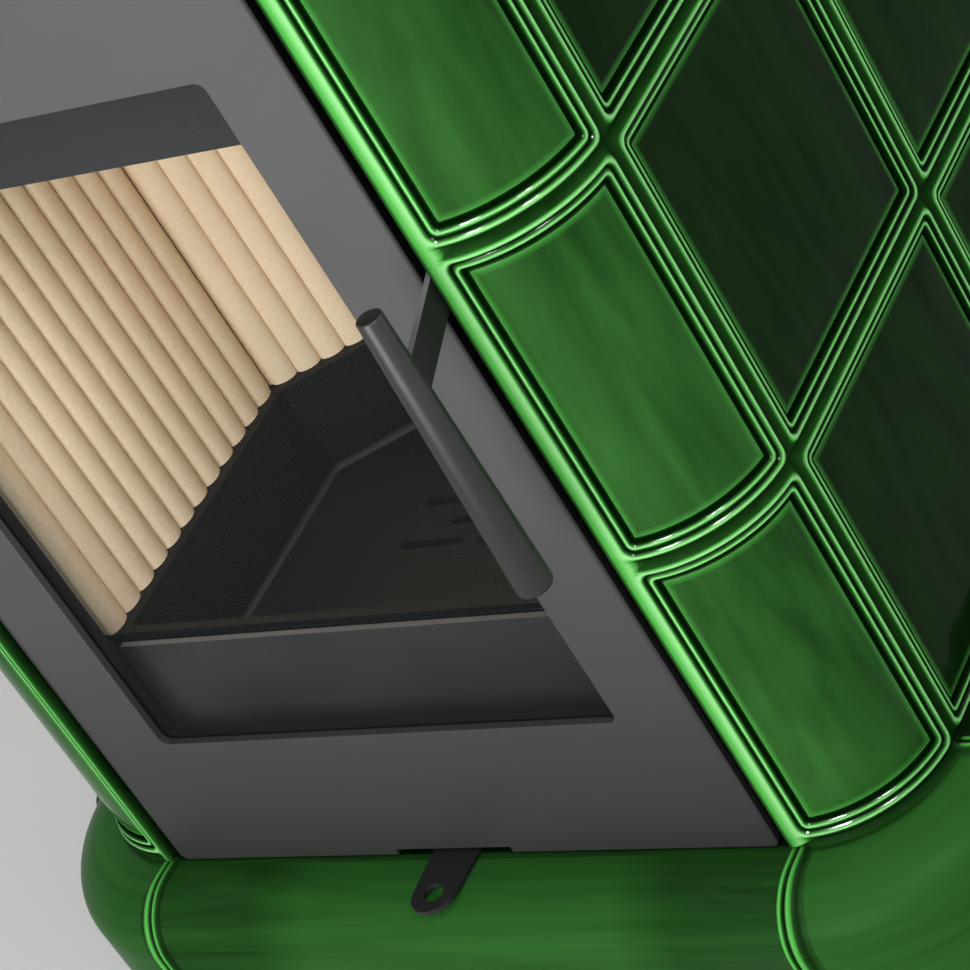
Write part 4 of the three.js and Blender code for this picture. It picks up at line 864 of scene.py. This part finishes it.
class HEATER_OT_relief_tiles(bpy.types.Operator):
    """Makes the corner tiles, the side tiles and the tiles over the door"""

    bl_idname = "heater.relief_tiles"
    bl_label = "Relief tiles"

    def execute(self, context):
        tiles = context.scene.heater_tiles
        gloss = context.scene.heater_glaze.gloss
        streaks = (24.0, 5.0, 1.0)
        front = glaze_finish("Green glaze", streaks, 1.0, gloss, 0.15)
        matt = glaze_finish("Green glaze in the joints", streaks, 0.8, 0.0, 0.0, 0.4)
        # The side tiles take the same glaze darkened as painted shade
        flank = glaze_finish("Dark green glaze", streaks, 0.24, gloss * 0.5)
        door_side = corner_low.x - BEAD_OVERHANG - tiles.joint / 2
        seed = 0

        def tile(node, start, end, bottom, mirrored, beaded=False, finish=front):
            nonlocal seed
            seed += 1
            # The dark_green_glaze slot is the green glaze with painted shade
            slot = "dark_green_glaze" if finish == flank else "green_glaze"
            steps = tiles.turn_steps if beaded else FLAT_STEPS
            relief_tile(node, slot, start, end, bottom, steps, beaded, mirrored, seed, finish, matt)

        for course in range(COURSES):
            bottom = TILE_LINE + course * MODULE
            for side, mirrored in SIDES:
                tile(f"corner_tile_{side}_{course + 1}", door_side, TURN_END, bottom, mirrored, True)
                for column in range(COLUMNS):
                    node = f"side_tile_{side}_{course + 1}_{column + 1}"
                    start = TURN_END + column * MODULE
                    tile(node, start, start + MODULE, bottom, mirrored, finish=flank)
        for side, mirrored in SIDES:
            tile(f"front_tile_{side}", 0.0, door_side, bottom, mirrored)
        return {"FINISHED"}


class HEATER_OT_base_course(bpy.types.Operator):
    """Makes the rounded base course and the cornice"""

    bl_idname = "heater.base_course"
    bl_label = "Base course and cornice"

    def execute(self, context):
        tiles = context.scene.heater_tiles
        steps = tiles.turn_steps
        gloss = context.scene.heater_glaze.gloss * 0.5
        streaks = (3.0, 40.0, 1.0)
        front = glaze_finish("Green glaze on mouldings", streaks, 0.62, gloss, 0.0, 0.2)
        # The side mouldings and cornice sides take the same glaze darkened as painted shade
        flank = glaze_finish("Dark green glaze on mouldings", streaks, 0.3, gloss, 0.0, 0.2)
        profile = base_profile(context.scene.heater_base.sill_drop)
        stations = beaded_stations(-TURN_X, TURN_X, FLAT_STEPS)
        moulding("base_tile_front", "green_glaze", profile, stations, False, 1, front)
        seated = base_profile(0.0)
        for side, mirrored in SIDES:
            for part, start, end, count, seed, slot, finish in (
                ("corner", TURN_X, TURN_END, steps, 2, "green_glaze", front),
                ("side", TURN_END, SIDE_END, FLAT_STEPS, 4, "dark_green_glaze", flank),
            ):
                node = f"base_tile_{part}_{side}"
                stations = beaded_stations(start, end, count)
                moulding(node, slot, seated, stations, mirrored, seed + mirrored, finish)
        turned = [TURN_X + TURN_RUN * i / steps for i in range(steps)] + [TURN_END - tiles.joint / 2]
        stations = [(-along, 0.0, 0.0) for along in reversed(turned)]
        stations += [(along, 0.0, 0.0) for along in turned]
        moulding("cornice_front", "green_glaze", cornice_profile, stations, False, 6, front)
        stations = [(TURN_END + tiles.joint / 2, 0.0, 0.0), (SIDE_END, 0.0, 0.0)]
        for side, mirrored in SIDES:
            moulding(f"cornice_{side}", "dark_green_glaze", cornice_profile, stations, mirrored, 7, flank)
        return {"FINISHED"}


class HEATER_OT_masonry(bpy.types.Operator):
    """Finishes the base, the back wall, the storage core and the cover slab"""

    bl_idname = "heater.masonry"
    bl_label = "Masonry"

    def execute(self, context):
        clay = mineral_finish("Fireclay masonry", (0.40, 0.30, 0.20, 1.0), 260.0, 0.0012, 0.18)
        slab = mineral_finish("Smooth cast slab", (0.46, 0.38, 0.29, 1.0), 420.0, 0.0005, 0.18)
        for node in ("masonry_base", "back_wall", "storage_core"):
            dressed_copy(node, clay, BODY, 0.001, 1)
        dressed_copy("cover_slab", slab, BODY, 0.0006, 1, 50)
        return {"FINISHED"}


# Geometry node trees


class Tree:
    """A geometry node tree with named inputs."""

    def __init__(self, name, inputs):
        self.tree = bpy.data.node_groups.new(name, "GeometryNodeTree")
        self.socket("Geometry", "Geometry")
        self.identifiers = {}
        for label, kind, default in inputs:
            item = self.socket(label, kind)
            if default is not None:
                item.default_value = default
            self.identifiers[label] = item.identifier
        self.socket("Geometry", "Geometry", "OUTPUT")
        self.inputs = self.tree.nodes.new("NodeGroupInput").outputs
        self.output = self.tree.nodes.new("NodeGroupOutput")

    def socket(self, label, kind, way="INPUT"):
        """A socket of the whole tree."""
        return self.tree.interface.new_socket(label, in_out=way, socket_type="NodeSocket" + kind)

    def add(self, kind, sockets=None, **settings):
        """First output of a new node."""
        return add_node(self.tree, kind, sockets, settings).outputs[0]

    def geometry(self, kind, sockets=None, **settings):
        """First output of a new geometry node."""
        return self.add("GeometryNode" + kind, sockets, **settings)

    def finish(self, geometry):
        """Realizes the instances, sets the material and ends the tree."""
        real = self.geometry("RealizeInstances", {"Geometry": geometry})
        finished = self.geometry("SetMaterial", {"Geometry": real, "Material": self.inputs["Finish"]})
        self.tree.links.new(finished, self.output.inputs[0])

    def apply(self, piece, values, crease=CREASE):
        """Runs the tree on a piece with the given inputs and keeps the plain mesh."""
        modifier = piece.modifiers.new(self.tree.name, "NODES")
        modifier.node_group = self.tree
        for label, value in values.items():
            modifier[self.identifiers[label]] = value
        settle(piece, crease)


def rib_tree():
    """Half-round ribs side by side on a lining board."""
    tree = Tree(
        "Lining ribs",
        [
            ("First Rib", "Vector", (0.0, 0.0, 0.0)),
            ("Step", "Vector", (0.019, 0.0, 0.0)),
            ("Turn", "Float", 0.0),
            ("Ribs", "Int", 12),
            ("Half Width", "Float", 0.0095),
            ("Depth", "Float", 0.006),
            ("Height", "Float", 0.42),
            ("Finish", "Material", None),
        ],
    )
    given = tree.inputs
    circle = tree.geometry("CurvePrimitiveCircle", {"Resolution": 40, "Radius": 1.0})
    size = tree.add("ShaderNodeCombineXYZ", {0: given["Half Width"], 1: given["Depth"], 2: 1.0})
    oval = tree.geometry("Transform", {"Geometry": circle, "Scale": size})
    top = tree.add("ShaderNodeCombineXYZ", {2: given["Height"]})
    upright = tree.geometry("CurvePrimitiveLine", {"Start": (0.0, 0.0, 0.0), "End": top})
    rib = tree.geometry("CurveToMesh", {"Curve": upright, "Profile Curve": oval, "Fill Caps": True})
    turned = tree.add("ShaderNodeCombineXYZ", {2: given["Turn"]})
    sockets = {"Count": given["Ribs"], "Start Location": given["First Rib"], "Offset": given["Step"]}
    line = tree.geometry("MeshLine", sockets)
    ribs = tree.geometry("InstanceOnPoints", {"Points": line, "Instance": rib, "Rotation": turned})
    joined = tree.geometry("JoinGeometry", {0: given["Geometry"]})
    tree.tree.links.new(ribs, joined.node.inputs[0])
    tree.finish(joined)
    return tree


def rope_tree():
    """Rope strands laid slantwise along a closed path."""
    tree = Tree(
        "Rope strands",
        [
            ("Spacing", "Float", 0.0042),
            ("Radius", "Float", 0.0026),
            ("Length", "Float", 0.0098),
            ("Lay", "Float", 0.62),
            ("Finish", "Material", None),
        ],
    )
    given = tree.inputs
    curve = tree.geometry("MeshToCurve", {"Mesh": given["Geometry"]})
    even = tree.geometry("ResampleCurve", {"Curve": curve, "Length": given["Spacing"]}, mode="LENGTH")
    sphere = tree.geometry("MeshUVSphere", {"Segments": 8, "Rings": 5, "Radius": 1.0})
    half = tree.add("ShaderNodeMath", {0: given["Length"], 1: 2.0}, operation="DIVIDE")
    size = tree.add("ShaderNodeCombineXYZ", {0: given["Radius"], 1: given["Radius"], 2: half})
    tilt = tree.add("ShaderNodeCombineXYZ", {0: given["Lay"]})
    strand = tree.geometry("Transform", {"Geometry": sphere, "Rotation": tilt, "Scale": size})
    tangent = tree.geometry("InputTangent")
    aligned = tree.add("FunctionNodeAlignRotationToVector", {"Vector": tangent}, axis="Z")
    sockets = {"Points": even, "Instance": strand, "Rotation": aligned}
    tree.finish(tree.geometry("InstanceOnPoints", sockets))
    return tree


class HEATER_OT_fire_lining(bpy.types.Operator):
    """Makes the fluted lining boards and the baffle"""

    bl_idname = "heater.fire_lining"
    bl_label = "Fluted fire lining"

    def execute(self, context):
        box = context.scene.heater_firebox
        board = mineral_finish("Lining board", (0.86, 0.70, 0.49, 1.0), 520.0, 0.0006, 0.1)
        half, back_half = box.width / 2, box.back_width / 2
        bends = [(half, box.front), (half, box.bend), (back_half, box.back)]
        plan = [Vector((-x, FACE_Y + depth)) for x, depth in bends]
        plan += [Vector((x, FACE_Y + depth)) for x, depth in reversed(bends)]
        tree = rib_tree()
        for i, name in enumerate(("left", "back_left", "back", "back_right", "right")):
            node = f"liner_{name}"
            low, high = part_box(node)
            run = plan[i + 1] - plan[i]
            direction = run.normalized()
            outward = Vector((-direction.y, direction.x))
            ribs = round(run.length / box.rib_pitch)
            pitch = run.length / ribs
            first = plan[i] + direction * pitch / 2 + outward * box.rib_depth
            piece = dressed_copy(node, board, BODY, 0.0004, 1)
            values = {
                "First Rib": (first.x, first.y, low.z),
                "Step": (direction.x * pitch, direction.y * pitch, 0.0),
                "Turn": math.atan2(direction.y, direction.x),
                "Ribs": ribs,
                "Half Width": pitch / 2,
                "Depth": box.rib_depth,
                "Height": high.z - low.z,
                "Finish": board,
            }
            tree.apply(piece, values)
        dressed_copy("baffle_plate", board, BODY, 0.001, 2)
        return {"FINISHED"}


class HEATER_OT_insert(bpy.types.Operator):
    """Finishes the fire insert, its trough, guard and air parts"""

    bl_idname = "heater.insert"
    bl_label = "Fire insert"

    def execute(self, context):
        steel = context.scene.heater_steel
        pan_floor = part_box("fire_trough")[0].z + context.scene.heater_firebox.trough_wall
        fold_top = pan_floor + context.scene.heater_firebox.trough_fold
        # The lighter colours of the castings paint highlights on the trough's fold and the guard's top
        # faces
        iron = casting_finish("Cast iron", steel.casting_colour, 0.48, (0.07, 0.068, 0.07, 1.0), fold_top)
        guard = casting_finish("Log guard iron", steel.guard_colour, 0.5, (0.15, 0.15, 0.15, 1.0))
        black = painted_finish("Black stove paint", steel.black_colour, 0.42)
        casing = painted_finish("Heat-darkened steel", (0.03, 0.03, 0.031, 1.0), 0.6, 900.0, 0.0002)
        # Faces with a painted highlight: the trough's walls over its floor, and the sloping and level faces
        # of the guard
        for piece, lowest, steepest, flattest in (
            (dressed_copy("fire_trough", iron, BODY, 0.0045, 4), pan_floor + 0.001, 0.0, 0.5),
            (dressed_copy("log_guard", guard, BODY, 0.0012, 3), 0.0, 0.2, 1.1),
        ):
            painted_highlight = []
            for face in piece.data.polygons:
                painted_highlight.append(float(steepest < abs(face.normal.z) < flattest and face.center.z > lowest))
            piece.data.attributes.new("fold", "FLOAT", "FACE").data.foreach_set("value", painted_highlight)
        for node in ("insert_frame", "hinge_rod", "latch_keeper", "flue_collar"):
            dressed_copy(node, black, BODY, steel.edge_width, 2)
        for node in ("insert_body", "air_wash_plate"):
            dressed_copy(node, casing, BODY, steel.edge_width, 1)
        dressed_copy("air_slide", black, "air_control", steel.edge_width, 2)
        return {"FINISHED"}


class HEATER_OT_fire_door(bpy.types.Operator):
    """Makes the door plate, its frame, glass, retainer and rope seal"""

    bl_idname = "heater.fire_door"
    bl_label = "Fire door"

    def execute(self, context):
        steel = context.scene.heater_steel
        paint = painted_finish("Door paint", steel.door_colour, 0.4, half_width=plate_high.x)
        black = painted_finish("Black door steel", steel.black_colour, 0.45)
        dressed_copy("door_plate", paint, "door", steel.edge_width, 3)
        for node in ("door_frame", "glass_retainer"):
            dressed_copy(node, black, "door", steel.edge_width, 2)
        dressed_copy("glass_pane", pane_finish("Fire glass"), "door", 0.0004, 2)
        rope = rope_finish("Seal rope", (0.035, 0.035, 0.035, 1.0))
        low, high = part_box("door_seal")
        radius = (high.y - low.y) / 2
        bend = steel.rope_corner
        left, right = low.x + radius + bend, high.x - radius - bend
        bottom, top = low.z + radius + bend, high.z - radius - bend
        path = []
        for quarters, x, z in ((2, left, bottom), (3, right, bottom), (0, right, top), (1, left, top)):
            for i in range(ROPE_STEPS + 1):
                angle = math.pi / 2 * (quarters + i / ROPE_STEPS)
                path.append((x + bend * math.cos(angle), (low.y + high.y) / 2, z + bend * math.sin(angle)))
        mesh = bpy.data.meshes.new("door_seal_rope")
        mesh.from_pydata(path, [(i, (i + 1) % len(path)) for i in range(len(path))], [])
        piece = new_piece("door_seal_rope", mesh)
        rope_tree().apply(piece, {"Finish": rope}, 80)
        stand_for(piece, "door_seal", "door")
        return {"FINISHED"}


class HEATER_OT_door_handle(bpy.types.Operator):
    """Makes the lever arm and the tapered grip"""

    bl_idname = "heater.door_handle"
    bl_label = "Door handle"

    def execute(self, context):
        steel = context.scene.heater_steel
        black = painted_finish("Black lever paint", steel.black_colour, 0.36)
        arm = dressed_copy("handle_arm", black, "handle", 0.0005, 3)
        # The arm's narrow faces in front of the door take a lighter paint as a painted highlight
        arm.data.materials.append(painted_finish("Rubbed lever edge", (0.15, 0.15, 0.15, 1.0), 0.4))
        edges = [int(abs(face.normal.x) < 0.5 and face.center.y < FACE_Y) for face in arm.data.polygons]
        arm.data.polygons.foreach_set("material_index", edges)
        drawn = drawn_steel_finish("Dark drawn steel", steel.grip_colour)
        low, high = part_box("handle_grip")
        x = (low.x + high.x) / 2
        foot_radius, top_radius = (high.x - low.x) / 2, steel.grip_top_radius
        lower = Vector((x, low.y + foot_radius, low.z + 0.0002))
        upper = Vector((x, FACE_Y - steel.grip_distance, high.z - 0.0002))
        axis = upper - lower
        profile = [(0.0, 0.0)]
        profile += [(foot_radius - side / 1000, end / 1000) for side, end in GRIP_FOOT]
        profile += [(top_radius - side / 1000, axis.length - end / 1000) for side, end in GRIP_TOP]
        profile.append((0.0, axis.length))
        slant = axis.normalized().to_track_quat("Z", "Y").to_matrix()
        points = []
        for radius, height in profile:
            for i in range(GRIP_SIDES):
                angle = 2 * math.pi * i / GRIP_SIDES
                spot = Vector((radius * math.cos(angle), radius * math.sin(angle), height))
                points.append(lower + slant @ spot)
        mesh = bpy.data.meshes.new("handle_grip_turned")
        mesh.from_pydata(points, [], lofted_faces(len(profile), GRIP_SIDES, [], []))
        work = bmesh.new()
        work.from_mesh(mesh)
        bmesh.ops.remove_doubles(work, verts=work.verts, dist=1e-7)
        bmesh.ops.recalc_face_normals(work, faces=work.faces)
        work.to_mesh(mesh)
        work.free()
        mesh.shade_smooth()
        mesh.set_sharp_from_angle(angle=math.radians(CREASE))
        mesh.materials.append(drawn)
        stand_for(new_piece("handle_grip_turned", mesh), "handle_grip", "handle")
        return {"FINISHED"}


def pieces_named(name, part):
    """A collection for a lamp: the new pieces whose names hold a part, other than the base course."""
    group = bpy.data.collections.new(name)
    for piece in bpy.context.scene.objects:
        if part in piece.name and not piece.name.startswith("base") and piece.name not in frame["nodes"]:
            group.objects.link(piece)
    return group


class HEATER_OT_studio(bpy.types.Operator):
    """Sets up floor, lamps, surroundings and camera"""

    bl_idname = "heater.studio"
    bl_label = "Studio"

    def execute(self, context):
        scene = context.scene
        studio = scene.heater_studio
        scene.view_settings.view_transform = "Standard"
        backdrop = (0.93, 0.94, 0.95, 1.0)
        half = studio.floor_half
        floor_mesh = bpy.data.meshes.new("studio_floor")
        corners = [(-half, -half, 0), (half, -half, 0), (half, half, 0), (-half, half, 0)]
        floor_mesh.from_pydata(corners, [], [(0, 1, 2, 3)])
        pale = (0.78, 0.78, 0.77, 1.0)
        material, tree, shader = new_finish("Pale floor", pale, Roughness=0.9, Emission_Color=backdrop)
        away = add(tree, "VectorMath", {0: object_place(tree)}, operation="LENGTH").outputs["Value"]
        far = smooth_step(tree, away, studio.fade_start, studio.fade_end)
        connect(tree, shader, Emission_Strength=combine(tree, "MULTIPLY", far, seen_directly(tree)))
        floor_mesh.materials.append(material)
        new_piece("studio_floor", floor_mesh)
        scene.world = bpy.data.worlds.new("Studio surroundings")
        scene.world.use_nodes = True
        tree = scene.world.node_tree
        background = tree.nodes["Background"].inputs
        background["Color"].default_value = backdrop
        strength = remap(tree, seen_directly(tree), 0.0, 1.0, studio.world_strength, 1.0)
        tree.links.new(strength, background["Strength"])
        aim = Vector((0.28, FACE_Y, 0.6))
        front_place, cross_place = (0.25, -1.5, 1.87), (1.31, -0.98, 1.87)
        for name, place, width, height, power, lit in (
            ("Front lamp", front_place, 0.9, 0.9, studio.front_power, None),
            ("Cross lamp", cross_place, 0.9, 0.9, studio.cross_power, None),
            ("Fill lamp", (0.1, -3.0, 1.0), 1.6, 1.6, studio.fill_power, None),
            ("Side lamp", (2.4, 1.9, 1.9), 1.4, 1.4, studio.side_power, None),
            ("Back lamp", (-1.4, 2.9, 2.6), 1.8, 1.8, studio.back_power, None),
            ("Firebox lamp", (0.5, -1.5, 0.8), 0.5, 0.5, studio.firebox_power, "liner_"),
            ("Front sparkle", front_place, 0.34, 0.4, studio.sparkle_power * 2.2, "tile_"),
            ("Cross sparkle", cross_place, 0.34, 0.4, studio.sparkle_power, "tile_"),
        ):
            light = bpy.data.lights.new(name, "AREA")
            light.shape = "RECTANGLE"
            light.size = width
            light.size_y = height
            light.energy = power
            lamp = new_piece(name, light)
            lamp.location = place
            lamp.rotation_euler = (aim - Vector(place)).to_track_quat("-Z", "Y").to_euler()
            if lit:
                lamp.visible_diffuse = lit == "liner_"
                lamp.light_linking.receiver_collection = pieces_named(name + " receivers", lit)
        lens = bpy.data.cameras.new("Camera")
        lens.sensor_width = 36.0
        lens.lens = studio.lens
        lens.clip_start = 0.05
        lens.clip_end = 60.0
        camera = new_piece("Camera", lens)
        place = Matrix.Translation((1.3026025, FACE_Y - 1.1250159, 1.5109533))
        turned = Matrix.Rotation(studio.heading, 4, "Z") @ Matrix.Rotation(studio.tilt, 4, "X")
        camera.matrix_world = place @ turned @ Matrix.Rotation(studio.roll, 4, "Z")
        scene.camera = camera
        return {"FINISHED"}


class HEATER_PT_panel(bpy.types.Panel):
    """Lists the heater's pieces and settings"""

    bl_idname = "HEATER_PT_panel"
    bl_label = "Masonry heater"
    bl_space_type = "VIEW_3D"
    bl_region_type = "UI"
    bl_category = "Heater"

    def draw(self, context):
        for operator in OPERATORS:
            self.layout.operator(operator.bl_idname)
        for name in GROUPS:
            settings = getattr(context.scene, name)
            column = self.layout.column()
            for key in settings.__annotations__:
                column.prop(settings, key)


OPERATORS = (
    HEATER_OT_relief_tiles,
    HEATER_OT_base_course,
    HEATER_OT_masonry,
    HEATER_OT_fire_lining,
    HEATER_OT_insert,
    HEATER_OT_fire_door,
    HEATER_OT_door_handle,
    HEATER_OT_studio,
)
GROUPS = {
    "heater_glaze": HeaterGlaze,
    "heater_tiles": HeaterTiles,
    "heater_base": HeaterBase,
    "heater_cornice": HeaterCornice,
    "heater_firebox": HeaterFirebox,
    "heater_steel": HeaterSteel,
    "heater_studio": HeaterStudio,
}


def register():
    for group in GROUPS.values():
        bpy.utils.register_class(group)
    for name, group in GROUPS.items():
        setattr(bpy.types.Scene, name, PointerProperty(type=group))
    for operator in OPERATORS:
        bpy.utils.register_class(operator)
    bpy.utils.register_class(HEATER_PT_panel)


def unregister():
    bpy.utils.unregister_class(HEATER_PT_panel)
    for operator in reversed(OPERATORS):
        bpy.utils.unregister_class(operator)
    for name, group in GROUPS.items():
        delattr(bpy.types.Scene, name)
        bpy.utils.unregister_class(group)


def main():
    register()
    bpy.ops.heater.relief_tiles()
    bpy.ops.heater.base_course()
    bpy.ops.heater.masonry()
    bpy.ops.heater.fire_lining()
    bpy.ops.heater.insert()
    bpy.ops.heater.fire_door()
    bpy.ops.heater.door_handle()
    bpy.ops.heater.studio()


if __name__ == "__main__":
    main()
